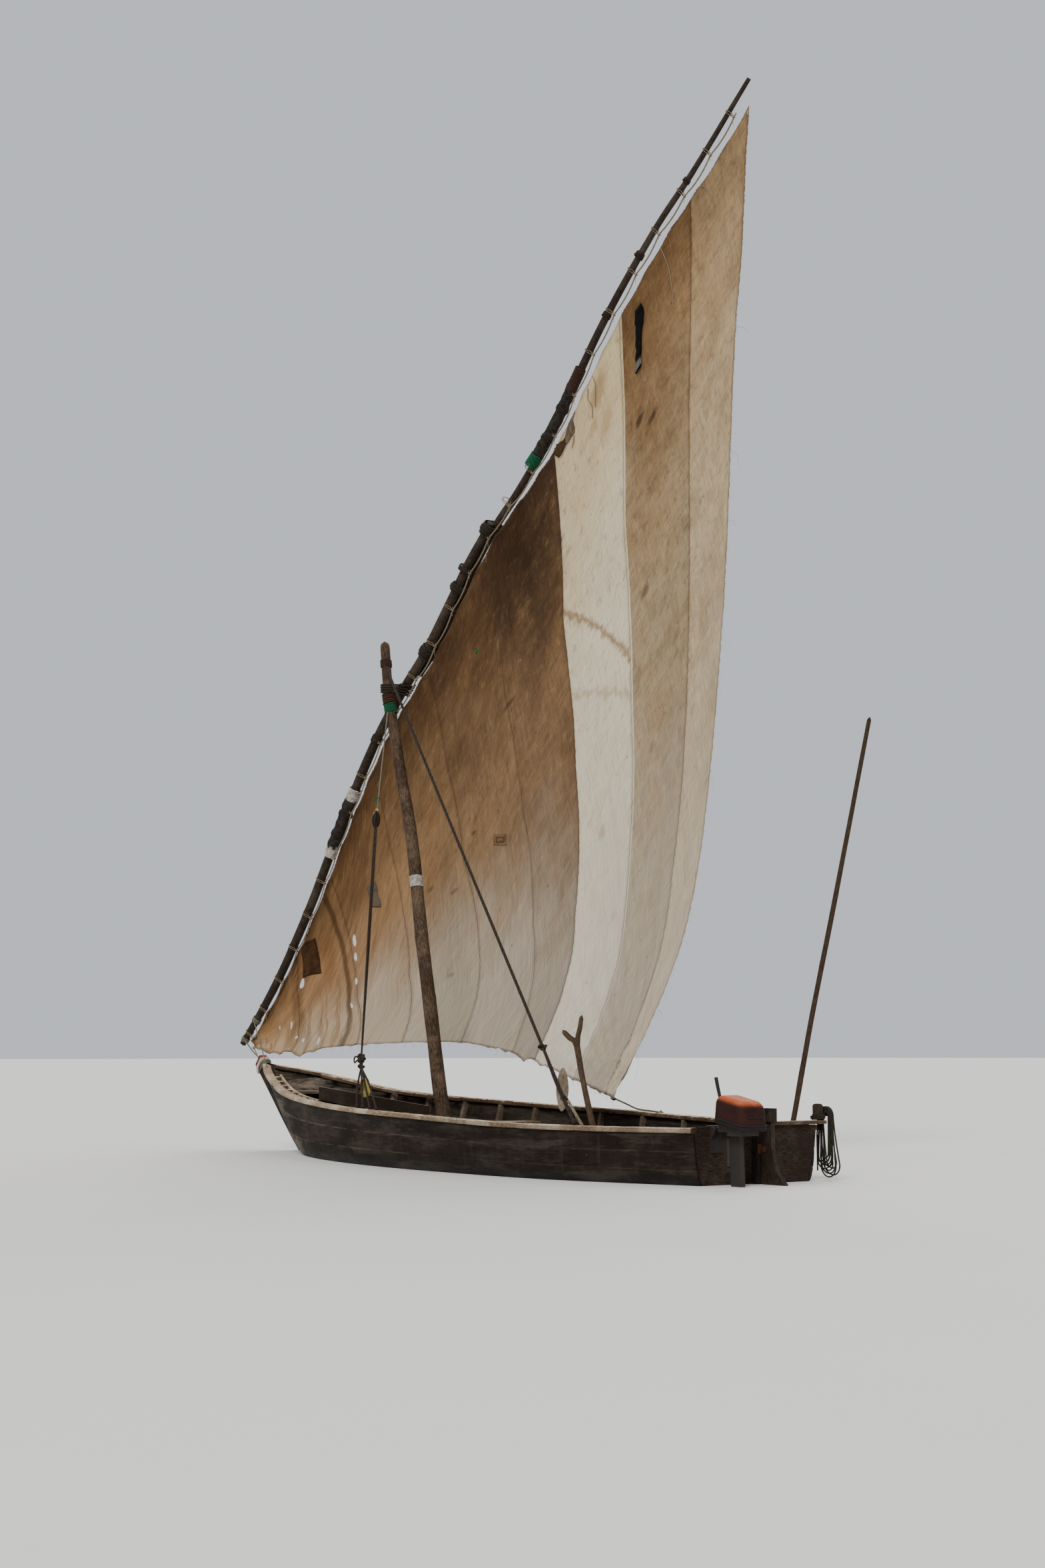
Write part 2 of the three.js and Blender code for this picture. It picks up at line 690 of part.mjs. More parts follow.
const parrelZ = 5600;
const parrelR = 86;
const parrelRope = 12;
const collarAt = (z, tall, grow) => {
  const around = taperedBar(withY(mastLine, () => 0).map((p) => ({ ...p, r: p.r + grow })), mastSides);
  const tight = taperedBar(withY(mastLine, () => 0).map((p) => ({ ...p, r: p.r + gap })), mastSides);
  return around.intersect(boxSolid(0, 3000, -300, 300, z, z + tall)).subtract(tight);
};
const shroudCollar = collarAt(5340, 110, 15).add(collarAt(5449, parrelZ - parrelRope - gap - 5449, 30));
const stayCollar = collarAt(5930, 90, 15);
const mastRing = collarAt(3310, 130, 8);

const shroudTop = [1762, 50, 5390];
const blockSpot = [1335, 470, 3970];
const shroudKnot = [345, 1250, 1164];
const blockHalf = 95;
const between = (a, b, t) => a.map((v, i) => v + (b[i] - v) * t);
const blockShell = (extra) => {
  const shell = new THREE.SphereGeometry(1, 14, 10);
  shell.scale(48 + extra, 34 + extra, blockHalf + extra);
  const lean = new THREE.Quaternion().setFromUnitVectors(
    new THREE.Vector3(0, 0, 1),
    new THREE.Vector3(...shroudTop).sub(new THREE.Vector3(...shroudKnot)).normalize(),
  );
  shell.applyQuaternion(lean);
  shell.translate(...blockSpot);
  return solidOf(shell);
};
const block = blockShell(0);
const blockClear = blockShell(gap);
const mastWrapped = taperedBar(
  withY(mastLine, () => 0).map((p) => ({ ...p, r: p.r + 15 + gap })),
  mastSides,
);
const shroudLine = [shroudTop, between(shroudTop, blockSpot, 0.5), between(shroudTop, blockSpot, 0.96)];
const shroud = ropeSolid(shroudLine, 12, 8, 6)
  .subtract(mastWrapped)
  .subtract(blockClear);
const falls = (() => {
  const parts = [];
  const from = between(blockSpot, shroudKnot, 0.015);
  for (const off of [-16, 16]) {
    const middle = between(from, shroudKnot, 0.5).map((v, i) => (i ? v : v + off * 0.6));
    parts.push(ropeSolid([[from[0] + off, from[1], from[2]], middle, shroudKnot], 9, 7, 6));
  }
  const knot = new THREE.SphereGeometry(34, 10, 8);
  knot.translate(...shroudKnot);
  parts.push(solidOf(knot));
  for (const x of [231, 80, -90, -242]) {
    const end = capPoint(x, 1);
    const foot = [end[0], end[1], end[2] + 4];
    parts.push(ropeSolid([shroudKnot, between(shroudKnot, end, 0.5), foot], 8, 6, 2));
  }
  return join(parts);
})()
  .subtract(blockClear)
  .subtract(capClear[0]);

const stayFoot = capPoint(-3490, 1);
const stayTop = [1880, 30, 5975];
const stayLine = [
  [stayFoot[0], stayFoot[1], stayFoot[2] + 8],
  between(stayFoot, stayTop, 0.5),
  stayTop,
];
const backstay = ropeSolid(stayLine, 11, 8, 10)
  .subtract(capClear[0])
  .subtract(mastWrapped);

const parrel = (() => {
  const ring = new THREE.TorusGeometry(parrelR, parrelRope, 8, 24);
  ring.translate(yardAxisX, 0, parrelZ);
  const tail = new THREE.CylinderGeometry(11, 11, 130, 10);
  tail.translate(yardAxisX + 50, -145, parrelZ);
  return solidOf(ring).add(solidOf(tail)).subtract(spars);
})();

// Rudder

const rudderAxisX = -4935;
const sternpost = plateXZ(
  [
    [transomX - gap, keelBottomZ],
    [transomX - gap, 560],
    [transomX - sternpostDepth, 560],
    [transomX - sternpostDepth, keelBottomZ],
  ],
  -backboneHalf,
  backboneHalf,
);
const gudgeonZs = [-250, 330];
const gudgeonTall = 50;
const pintleR = 9;
const gudgeons = gudgeonZs.map((z) => {
  const eye = new THREE.CylinderGeometry(24, 24, gudgeonTall, 20);
  eye.rotateX(Math.PI / 2);
  eye.translate(rudderAxisX, 0, z);
  const hole = new THREE.CylinderGeometry(pintleR + 0.5, pintleR + 0.5, gudgeonTall + 20, 20);
  hole.rotateX(Math.PI / 2);
  hole.translate(rudderAxisX, 0, z);
  const reach = transomX - sternpostDepth;
  const arms = boxSolid(rudderAxisX + 8, reach - gap, -20, 20, z - gudgeonTall / 2, z + gudgeonTall / 2);
  const plate = boxSolid(reach - 8 - gap, reach - gap, -48, 48, z - 45, z + 45);
  return solidOf(eye).add(arms).add(plate).subtract(solidOf(hole));
});
const rudderOutline = [
  [-4905, -480],
  [-4905, 600],
  [-5045, 600],
  [-5050, 330],
  [-5110, 120],
  [-5290, -60],
  [-5315, -300],
  [-5270, -480],
];
const strapReach = gudgeonTall / 2 + 8;
const pinReach = pintleR + gap;
const rudder = gudgeonZs
  .reduce(
    (wood, z) =>
      wood.subtract(boxSolid(rudderAxisX - 34, -4800, -60, 60, z - strapReach, z + strapReach)),
    plateXZ(rudderOutline, -24, 24).add(boxSolid(-5050, -4905, -50, 50, 585, 712)),
  )
  .subtract(
    join(
      gudgeonZs.map((z) =>
        boxSolid(rudderAxisX - pinReach, rudderAxisX + pinReach, -pinReach, pinReach, z - 95, z + 95),
      ),
    ),
  );
const pintles = gudgeonZs.map((z) => {
  const pin = new THREE.CylinderGeometry(pintleR, pintleR, 180, 16);
  pin.rotateX(Math.PI / 2);
  pin.translate(rudderAxisX, 0, z);
  return solidOf(pin);
});

// Outboard motor, clamped to the port half of the transom

const motorY = 470;
const tiltAt = { x: -4850, z: 520 };
const tiltPinR = 10;
const steerX = -4960;
const steerPinR = 14;
const propZ = -330;
const propX = -5210.3;
const hood = { aft: -5335, fore: -4905, half: 172, low: 590.3, tall: 268, fall: 0.19, edge: 26 };
const clamp = (() => {
  const hook = plateXZ(
    [
      [transomX - gap, 300],
      [transomX - gap, transomTopZ + gap],
      [transomX + transomThick + gap, transomTopZ + gap],
      [transomX + transomThick + gap, 430],
      [transomX + transomThick + 12, 430],
      [transomX + transomThick + 12, transomTopZ + 9],
      [transomX - 12, transomTopZ + 9],
      [transomX - 12, 300],
    ],
    motorY - 100,
    motorY + 100,
  );
  const ears = [-1, 1].map((side) => {
    const y = motorY + side * 86;
    return plateXZ(
      [
        [transomX - 6, 420],
        [transomX - 6, 548],
        [tiltAt.x - 8, 544],
        [tiltAt.x - 22, 520],
        [tiltAt.x - 12, 500],
      ],
      y - 7,
      y + 7,
    );
  });
  const pin = new THREE.CylinderGeometry(tiltPinR, tiltPinR, 170, 16);
  pin.translate(tiltAt.x, motorY, tiltAt.z);
  return join([hook, ...ears, solidOf(pin)]);
})();
const upright = (r, z0, z1, x, y, sides = 20) => {
  const bar = new THREE.CylinderGeometry(r, r, z1 - z0, sides);
  bar.rotateX(Math.PI / 2);
  bar.translate(x, y, (z0 + z1) / 2);
  return solidOf(bar);
};
const swivel = (() => {
  const barrel = new THREE.CylinderGeometry(24, 24, 120, 20);
  barrel.translate(tiltAt.x, motorY, tiltAt.z);
  const bore = new THREE.CylinderGeometry(tiltPinR + 0.4, tiltPinR + 0.4, 140, 16);
  bore.translate(tiltAt.x, motorY, tiltAt.z);
  const arm = plateXZ(
    [
      [tiltAt.x + 4, 500],
      [tiltAt.x - 12, 534],
      [steerX + 46, 440],
      [steerX, 440],
      [steerX, 200],
      [steerX + 30, 200],
    ],
    motorY - 28,
    motorY + 28,
  );
  return join([solidOf(barrel), arm, upright(34, 180, 445, steerX, motorY)])
    .subtract(solidOf(bore))
    .subtract(upright(steerPinR + 0.5, 100, 600, steerX, motorY, 16));
})();
const leg = (() => {
  const casing = plateXZ(
    [
      [steerX - 42, 470],
      [steerX - 42, 60],
      [-5030, -180],
      [-5060, -290],
      [-5050, -345],
      [-5070, -475],
      [-5130, -475],
      [-5140, -372],
      [-5175, -350],
      [-5175, -310],
      [-5150, -290],
      [-5150, 60],
      [-5130, 470],
    ],
    motorY - 26,
    motorY + 26,
  );
  const plate = boxSolid(-5260, -5010, motorY - 75, motorY + 75, -196, -186);
  const pod = new THREE.CylinderGeometry(38, 38, 130, 18);
  pod.rotateZ(Math.PI / 2);
  pod.translate(-5110, motorY, propZ);
  const yokes = [
    [452, 500],
    [130, 172],
  ].map(([z0, z1]) => boxSolid(-5060, steerX + 24, motorY - 26, motorY + 26, z0, z1));
  const panTop = (x) => hood.low - gap + hood.fall * (x - hood.fore);
  const pan = plateXZ(
    [
      [-4930, 500],
      [-4930, panTop(-4930)],
      [-5250, panTop(-5250)],
      [-5250, 468],
      [-5060, 468],
      [-5060, 500],
    ],
    motorY - 110,
    motorY + 110,
  );
  const steerPin = upright(steerPinR, 140, 500, steerX, motorY, 16);
  return join([casing, plate, solidOf(pod), ...yokes, pan, steerPin]);
})();
const cowl = (() => {
  const outline = new THREE.Shape();
  const { aft, fore, half, edge } = hood;
  outline.moveTo(aft + 70, -half);
  outline.lineTo(fore - 150, -half);
  outline.bezierCurveTo(fore - 60, -half, fore, -half + 70, fore, 0);
  outline.bezierCurveTo(fore, half - 70, fore - 60, half, fore - 150, half);
  outline.lineTo(aft + 70, half);
  outline.quadraticCurveTo(aft, half, aft, half - 80);
  outline.lineTo(aft, -half + 80);
  outline.quadraticCurveTo(aft, -half, aft + 70, -half);
  const shell = new THREE.ExtrudeGeometry(outline, {
    depth: hood.tall - 2 * edge,
    bevelEnabled: true,
    bevelThickness: edge,
    bevelSize: 24,
    bevelOffset: -24,
    bevelSegments: 3,
    curveSegments: 6,
  });
  shell.translate(0, motorY, hood.low + edge);
  const lean = new THREE.Matrix4().makeShear(0, hood.fall, 0, 0, 0, 0);
  shell.translate(-hood.fore, 0, 0);
  shell.applyMatrix4(lean);
  shell.translate(hood.fore, 0, 0);
  return solidOf(shell);
})();
const tiller = (() => {
  const grip = taperedBar(
    [
      { x: -4890, y: motorY, z: 640, r: 16 },
      { x: -4855, y: motorY, z: 760, r: 15 },
      { x: -4810, y: motorY - 5, z: 880, r: 17 },
      { x: -4770, y: motorY - 10, z: 1000, r: 18 },
    ],
    12,
  );
  const lug = boxSolid(-4905, -4872, motorY - 22, motorY + 22, 622, 668);
  return grip.add(lug).subtract(boxSolid(-5300, -4905 + gap, 0, 900, 500, 900));
})();
const propeller = (() => {
  const hub = new THREE.CylinderGeometry(30, 22, 70, 16);
  hub.rotateZ(Math.PI / 2);
  hub.translate(propX, motorY, propZ);
  const blades = [0, 1, 2].map((k) => {
    const blade = new THREE.CylinderGeometry(40, 40, 7, 12);
    blade.scale(1, 1, 1.15);
    blade.rotateZ(Math.PI / 2);
    blade.translate(0, 0, 66);
    blade.applyMatrix4(new THREE.Matrix4().makeRotationZ(0.42));
    blade.applyMatrix4(new THREE.Matrix4().makeRotationX((2 * Math.PI * k) / 3));
    blade.translate(propX, motorY, propZ);
    return solidOf(blade);
  });
  return join([solidOf(hub), ...blades]);
})();

// Loose gear: crutch, paddle, pole, bollard, rope hank, plank

const deckSeat = sternDeckZ + gap;
const beam = { aft: -4830, fore: -4706, out: -900, into: -62, low: transomTopZ + gap, top: 578 };
const post = { x: -4762, y: -846, top: 742, pegR: 17, pegLong: 170, pegZ: 660 };
const hankThick = 90;
const crutch = (() => {
  const stem = taperedBar(
    [
      { x: -3640, y: 1000, z: deckSeat + 6, r: 30 },
      { x: -3615, y: 1050, z: 560, r: 29 },
      { x: -3520, y: 1085, z: 960, r: 28 },
      { x: -3446, y: 1100, z: 1297, r: 30 },
    ],
    10,
  );
  const arms = [
    [-3234, 1120, 1454],
    [-3497, 1080, 1601],
  ].map(([x, y, z]) =>
    taperedBar(
      [
        { x: -3450, y: 1099, z: 1275, r: 28 },
        { x: (x - 3446) / 2, y: (y + 1100) / 2, z: (z + 1297) / 2 - 8, r: 25 },
        { x, y, z, r: 21 },
      ],
      10,
    ),
  );
  return join([stem, ...arms])
    .subtract(boxSolid(-4700, -3000, 500, 1500, 0, deckSeat))
    .subtract(capClear[0]);
})();
const paddle = (() => {
  const blade = new THREE.SphereGeometry(1, 12, 8);
  blade.scale(90, 9, 215);
  blade.rotateY(-0.06);
  blade.translate(-3048, 985, 870);
  const shaft = taperedBar(
    [
      { x: -3490, y: 930, z: sternDeckZ + 12, r: 17 },
      { x: -3300, y: 955, z: 555, r: 17 },
      { x: -3065, y: 985, z: 840, r: 14 },
    ],
    10,
  );
  return solidOf(blade).add(shaft);
})();
const pole = taperedBar(
  [
    { x: -4672, y: -545, z: 362, r: 27 },
    { x: -4674, y: -600, z: 564, r: 27 },
    { x: -4684, y: -1150, z: 2580, r: 26 },
    { x: -4698, y: -1720, z: 4645, r: 22 },
  ],
  10,
);
const poleClear = taperedBar(
  [
    { x: -4672, y: -545, z: 358, r: 29 },
    { x: -4674, y: -600, z: 564, r: 29 },
  ],
  10,
);
const poleSocket = boxSolid(-4735, -4605, -640, -480, deckSeat, deckSeat + 110).subtract(poleClear);
const postRoom = backboneHalf + gap;
const sternBeam = boxSolid(beam.aft, beam.fore, beam.out, beam.into, beam.low, beam.top)
  .subtract(capClear[1])
  .subtract(boxSolid(transomX - sternpostDepth - gap, transomX + gap, -postRoom, postRoom, 0, 900));
const bollard = boxSolid(post.x - 48, post.x + 48, post.y - 46, post.y + 46, beam.top + gap, post.top).add(
  (() => {
    const peg = new THREE.CylinderGeometry(post.pegR, post.pegR, post.pegLong, 12);
    peg.translate(post.x, post.y - 46 - post.pegLong / 2 + 20, post.pegZ);
    return solidOf(peg);
  })(),
);
const hank = (() => {
  const shape = new THREE.Shape();
  shape.absarc(post.x, 640, 95, 0, Math.PI, false);
  shape.absarc(post.x, 205, 140, Math.PI, 2 * Math.PI, false);
  const hole = new THREE.Path();
  hole.absarc(post.x, post.pegZ, post.pegR + 1, 0, 2 * Math.PI, true);
  shape.holes.push(hole);
  const body = new THREE.ExtrudeGeometry(shape, {
    depth: hankThick,
    bevelEnabled: false,
    curveSegments: 10,
  });
  body.rotateX(Math.PI / 2);
  body.translate(0, post.y - 46 - 24, 0);
  return solidOf(body);
})();
const railPlank = (() => {
  const [a, b] = [
    [1560, 1075],
    [665, 135],
  ];
  const [za, zb] = [690, thwarts[2].z + gap];
  const side = new THREE.Vector2(b[0] - a[0], b[1] - a[1]).normalize();
  const [tx, ty] = [-side.y * 15, side.x * 15];
  const ring = ([x, y], z, high) => [
    [x + tx, y + ty, z],
    [x + tx, y + ty, z + high],
    [x - tx, y - ty, z + high],
    [x - tx, y - ty, z],
  ];
  return ringSolid([ring(a, za, 150), ring(b, zb, 190)]).subtract(capClear[0]).subtract(mastHole);
})();

const group = new THREE.Group();
const paint = {
  wood: { color: 0x3d3128, roughness: 0.85, metalness: 0 },
  paleWood: { color: 0x9a938a, roughness: 0.9, metalness: 0 },
  spar: { color: 0x6f665c, roughness: 0.85, metalness: 0 },
  sail: { color: 0xb99a74, roughness: 0.95, metalness: 0 },
  rope: { color: 0x8f8a6f, roughness: 0.95, metalness: 0 },
  iron: { color: 0x4a423c, roughness: 0.7, metalness: 0.6 },
  cowl: { color: 0x8a2f22, roughness: 0.4, metalness: 0.1 },
  motorGrey: { color: 0x8d8f90, roughness: 0.5, metalness: 0.4 },
};
const slots = {};
for (const [name, look] of Object.entries(paint)) slots[name] = new THREE.MeshStandardMaterial(look);

function place(name, solid, material) {
  const mesh = new THREE.Mesh(geometryOf(solid), slots[material]);
  mesh.name = name;
  group.add(mesh);
}

place("keel", keel, "wood");
place("stempost", stempost, "wood");
for (const [label, side] of [["port", 1], ["stbd", -1]]) {
  for (let k = 0; k < strakesPerSide; k++) {
    const above = aboveSheer[side > 0 ? 0 : 1];
    const strake = strakeSolid(k, side).subtract(middleSlab).subtract(sternCut).subtract(above);
    place("strake_" + label + "_" + (k + 1), strake, "wood");
  }
}
place("transom", transom, "wood");
place("frames", frames, "wood");
place("cap_rail_port", capRails[0], "paleWood");
place("cap_rail_stbd", capRails[1], "paleWood");
place("inwale_port", inwales[0], "paleWood");
place("inwale_stbd", inwales[1], "paleWood");
place("riser_port", risers[0], "wood");
place("riser_stbd", risers[1], "wood");
thwarts.forEach((t, i) => place(t.name, i === 2 ? thwartMast : thwartSolids[i], "paleWood"));
place("bottom_boards", bottomBoards, "wood");
place("stern_deck", sternDeck, "wood");
place("fore_deck", foreDeck, "wood");
place("mast_step", mastStep, "wood");
place("mast", mast, "spar");
place("lower_spar", lowerSpar, "spar");
place("upper_spar", upperSpar, "spar");
lashings.forEach((l, i) => place("yard_lashing_" + (i + 1), l, "rope"));
place("sail", sail, "sail");
place("luff_rope", luffRope, "rope");
place("parrel", parrel, "rope");
place("shroud_collar", shroudCollar, "rope");
place("stay_collar", stayCollar, "rope");
place("mast_band", mastRing, "rope");
place("shroud", shroud, "rope");
place("shroud_block", block, "wood");
place("shroud_falls", falls, "rope");
place("backstay", backstay, "rope");
place("sternpost", sternpost, "wood");
gudgeons.forEach((g, i) => place("gudgeon_" + (i + 1), g, "iron"));
place("rudder", rudder, "wood");
pintles.forEach((p, i) => place("pintle_" + (i + 1), p, "iron"));
place("motor_clamp", clamp, "motorGrey");
place("motor_swivel", swivel, "motorGrey");
place("motor_leg", leg, "motorGrey");
place("motor_cowl", cowl, "cowl");
place("motor_tiller", tiller, "iron");
place("propeller", propeller, "motorGrey");
place("crutch", crutch, "spar");
place("paddle", paddle, "paleWood");
place("pole", pole, "spar");
place("pole_socket", poleSocket, "wood");
place("stern_beam", sternBeam, "paleWood");
place("bollard", bollard, "wood");
place("rope_hank", hank, "rope");
place("rail_plank", railPlank, "paleWood");

export default group;
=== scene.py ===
# A small open dhow afloat: weathered planking, a raked mast, a long spliced yard with a
# patched lateen sail, rope rigging and a clamped outboard motor. Metres, +X to the bow,
# +Y to port, +Z up from the waterline.
import bisect
from math import asin, atan, atan2, ceil, copysign, cos, exp, pi, radians, sin, sqrt, tan

import bmesh
import bpy
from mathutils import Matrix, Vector, noise
from mathutils.bvhtree import BVHTree


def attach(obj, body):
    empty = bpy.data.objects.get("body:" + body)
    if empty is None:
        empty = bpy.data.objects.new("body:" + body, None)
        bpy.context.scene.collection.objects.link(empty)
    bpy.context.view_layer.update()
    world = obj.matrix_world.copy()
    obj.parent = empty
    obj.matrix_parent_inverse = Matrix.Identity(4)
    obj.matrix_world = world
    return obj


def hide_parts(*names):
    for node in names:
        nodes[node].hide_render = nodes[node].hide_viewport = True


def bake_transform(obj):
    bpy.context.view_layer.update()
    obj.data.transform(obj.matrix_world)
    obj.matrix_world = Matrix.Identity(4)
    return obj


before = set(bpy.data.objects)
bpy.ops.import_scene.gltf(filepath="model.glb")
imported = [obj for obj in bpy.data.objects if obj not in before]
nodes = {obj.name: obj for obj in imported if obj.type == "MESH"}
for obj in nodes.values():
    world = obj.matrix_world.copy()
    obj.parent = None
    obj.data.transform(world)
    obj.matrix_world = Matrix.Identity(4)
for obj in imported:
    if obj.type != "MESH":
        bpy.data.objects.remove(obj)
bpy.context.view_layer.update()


def vec(*place):
    return Vector(place)


def clearSelection():
    bpy.ops.object.select_all(action="DESELECT")


def pickOnly(*pieces):
    # selects pieces and makes the last one the active one
    clearSelection()
    for piece in pieces:
        piece.select_set(True)
        bpy.context.view_layer.objects.active = piece


def addObject(name, data):
    made = bpy.data.objects.new(name, data)
    bpy.context.scene.collection.objects.link(made)
    return made


clearSelection()

# Camera: at eye height on a boat off the port quarter

camera = {"place": (-20.556, 13.997, 1.249), "heading": -0.621, "horizonRow": 1576.5,
          "lens": 50, "imageHigh": 2352, "sensor": (24, 36)}


def makeCamera():
    data = bpy.data.cameras.new("camera")
    data.sensor_fit = "VERTICAL"
    data.sensor_width, data.sensor_height = camera["sensor"]
    data.lens = camera["lens"]
    data.clip_end = 400
    focal = camera["lens"] / camera["sensor"][1] * camera["imageHigh"]
    rise = atan((camera["horizonRow"] - camera["imageHigh"] / 2) / focal)
    turn = camera["heading"]
    ahead = vec(cos(turn) * cos(rise), sin(turn) * cos(rise), sin(rise))
    made = addObject("camera", data)
    made.location = camera["place"]
    made.rotation_euler = ahead.to_track_quat("-Z", "Y").to_euler()
    bpy.context.scene.camera = made


makeCamera()
print("camera placed")

# Curves and sweeps


def curveSpot(points, share):
    # centripetal
    last = len(points) - 1
    k = min(int(share * last), last - 1)
    w = share * last - k
    b, c = points[k], points[k + 1]
    a = points[k - 1] if k else b * 2 - c
    d = points[k + 2] if k + 2 <= last else c * 2 - b
    ab, bc, cd = (max(sqrt((q - p).length), 1e-4) for p, q in ((a, b), (b, c), (c, d)))
    leave = ((b - a) / ab - (c - a) / (ab + bc) + (c - b) / bc) * bc
    reach = ((c - b) / bc - (d - b) / (bc + cd) + (d - c) / cd) * bc
    return (b + leave * w + (c * 3 - b * 3 - leave * 2 - reach) * w ** 2
            + (b * 2 - c * 2 + leave + reach) * w ** 3)


class SmoothLine:
    def __init__(self, points, steps=400):
        points = [Vector(p) for p in points]
        self.spots = [curveSpot(points, i / steps) for i in range(steps + 1)]
        self.marks = [0]
        for a, b in zip(self.spots, self.spots[1:]):
            self.marks.append(self.marks[-1] + (b - a).length)
        self.length = self.marks[-1]

    def at(self, share):
        want = max(0, min(1, share)) * self.length
        k = min(max(bisect.bisect_right(self.marks, want) - 1, 0), len(self.marks) - 2)
        part = (want - self.marks[k]) / max(self.marks[k + 1] - self.marks[k], 1e-9)
        return self.spots[k].lerp(self.spots[k + 1], part)

    def heading(self, share, step=0.002):
        return (self.at(share + step) - self.at(share - step)).normalized()


def between(rows, want):
    # piecewise straight value from rows of (place, value)
    if want <= rows[0][0]:
        return rows[0][1]
    for (p, a), (q, b) in zip(rows, rows[1:]):
        if want <= q:
            return a + (b - a) * (want - p) / (q - p)
    return rows[-1][1]


def noiseAt(*place):
    # smooth noise, about -1 to 1
    return noise.noise(Vector(place))


def ease(low, high, value):
    t = max(0, min(1, (value - low) / (high - low)))
    return t * t * (3 - 2 * t)


def framesAlong(line, count):
    # places with side and up directions that turn as little as they can
    spots = [line.at(i / count) for i in range(count + 1)]
    ahead = [(spots[min(i + 1, count)] - spots[max(i - 1, 0)]).normalized() for i in range(count + 1)]
    side = ahead[0].orthogonal().normalized()
    found = []
    for spot, along in zip(spots, ahead):
        side = (side - along * side.dot(along)).normalized()
        found.append((spot, side, along.cross(side)))
    return found


def sweep(bm, line, radiusAt, sides=12, spacing=0.02, capped=True, squash=1):
    # a round bar along line; its map holds turns around and metres along
    uv = bm.loops.layers.uv.verify()
    count = max(2, ceil(line.length / spacing))
    rings = []
    for i, (spot, side, up) in enumerate(framesAlong(line, count)):
        ring = []
        for j in range(sides):
            angle = 2 * pi * j / sides
            r = radiusAt(i / count, angle)
            ring.append(bm.verts.new(spot + side * (r * cos(angle)) + up * (r * squash * sin(angle))))
        rings.append(ring)
    for i in range(count):
        for j in range(sides):
            k = (j + 1) % sides
            face = bm.faces.new((rings[i][j], rings[i][k], rings[i + 1][k], rings[i + 1][j]))
            face.smooth = True
            far = line.length / count
            for loop, (u, v) in zip(face.loops, ((j, i), (j + 1, i), (j + 1, i + 1), (j, i + 1))):
                loop[uv].uv = (u / sides, v * far)
    if capped:
        for ring, turned in ((rings[0], True), (rings[-1], False)):
            face = bm.faces.new(list(reversed(ring)) if turned else ring)
            for loop in face.loops:
                loop[uv].uv = (0.5, 0 if turned else line.length)
    return rings


def ropeRadius(radius, length, strands=3, lay=3.4, depth=0.16, ends=0):
    # laid rope: strands that wind once in lay diameters; ends narrow over that share
    turns = length / (lay * 2 * radius)

    def at(share, angle):
        ripple = abs(cos(strands / 2 * (angle - 2 * pi * turns * share)))
        full = radius * (1 - depth + depth * ripple)
        return full * (0.35 + 0.65 * ease(0, ends, min(share, 1 - share))) if ends else full
    return at


def addRope(bm, points, radius, sides=8, spacing=0.012, steps=40, **shape):
    line = SmoothLine(points, steps)
    sweep(bm, line, ropeRadius(radius, line.length, **shape), sides, spacing)
    return line


def vertexValues(bm, *names):
    # values kept on the vertices for the materials to read
    return [bm.verts.layers.float.new(name) for name in names]


def meshObject(name, bm):
    mesh = bpy.data.meshes.new(name)
    bm.to_mesh(mesh)
    bm.free()
    return addObject(name, mesh)


def newPiece(name, bm, body, look, hides=()):
    # a finished mesh as a piece of the boat, at the origin
    return settle(meshObject(name, bm), body, look, hides, smooth=0)


def cordPiece(name, bm, look, hides=(), body="hull"):
    return newPiece(name, bm, body, look, hides)


def yardCord(name, bm, look, hides=()):
    return cordPiece(name, bm, look, hides, "yard")


def dress(made, look):
    made.data.materials.clear()
    made.data.materials.append(materials[look])


def settle(made, body, look, hides=(), smooth=40):
    dress(made, look)
    if smooth:
        pickOnly(made)
        bpy.ops.object.shade_smooth_by_angle(angle=radians(smooth))
        made.select_set(False)
    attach(made, body)
    if hides:
        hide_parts(*hides)
    return made


def applyAll(made):
    # applies a piece's modifiers in their order
    pickOnly(made)
    for name in [m.name for m in made.modifiers]:
        bpy.ops.object.modifier_apply(modifier=name)
    made.select_set(False)


def thicken(made, name, thick, offset):
    wall = made.modifiers.new(name, "SOLIDIFY")
    wall.thickness, wall.offset = thick, offset
    applyAll(made)


def addCube(name, place, size):
    # a cube scaled to size with its middle at place
    clearSelection()
    bpy.ops.mesh.primitive_cube_add(size=1, location=place)
    return sized(name, size)


def sized(name, size):
    made = bpy.context.active_object
    made.name = name
    made.scale = size
    bpy.ops.object.transform_apply(location=True, rotation=True, scale=True)
    return made


def openMesh():
    bpy.ops.object.mode_set(mode="EDIT")
    bpy.ops.mesh.select_all(action="SELECT")


def closeMesh():
    bpy.ops.mesh.select_all(action="DESELECT")
    bpy.ops.object.mode_set(mode="OBJECT")


def pickEdges(made, picks):
    # selects the edges whose two ends pass the test
    bpy.ops.mesh.select_all(action="DESELECT")
    bm = bmesh.from_edit_mesh(made.data)
    for edge in bm.edges:
        edge.select = picks(*(v.co for v in edge.verts))
    bmesh.update_edit_mesh(made.data)


def roundEdges(edge, segments):
    # rounds every edge of the active object
    openMesh()
    bpy.ops.mesh.bevel(offset=edge, segments=segments, affect="EDGES")
    closeMesh()


def joinPieces(*pieces):
    # makes one object of pieces, under the name of the last
    pickOnly(*pieces)
    bpy.ops.object.join()
    return pieces[-1]


# Shared node groups: each puts out colours, masks and heights only

pen = {}   # the material or group that is being drawn


def reckon(operation, turned=False):
    return lambda a, b=None: figure(operation, *((b, a) if turned else (a, b)))


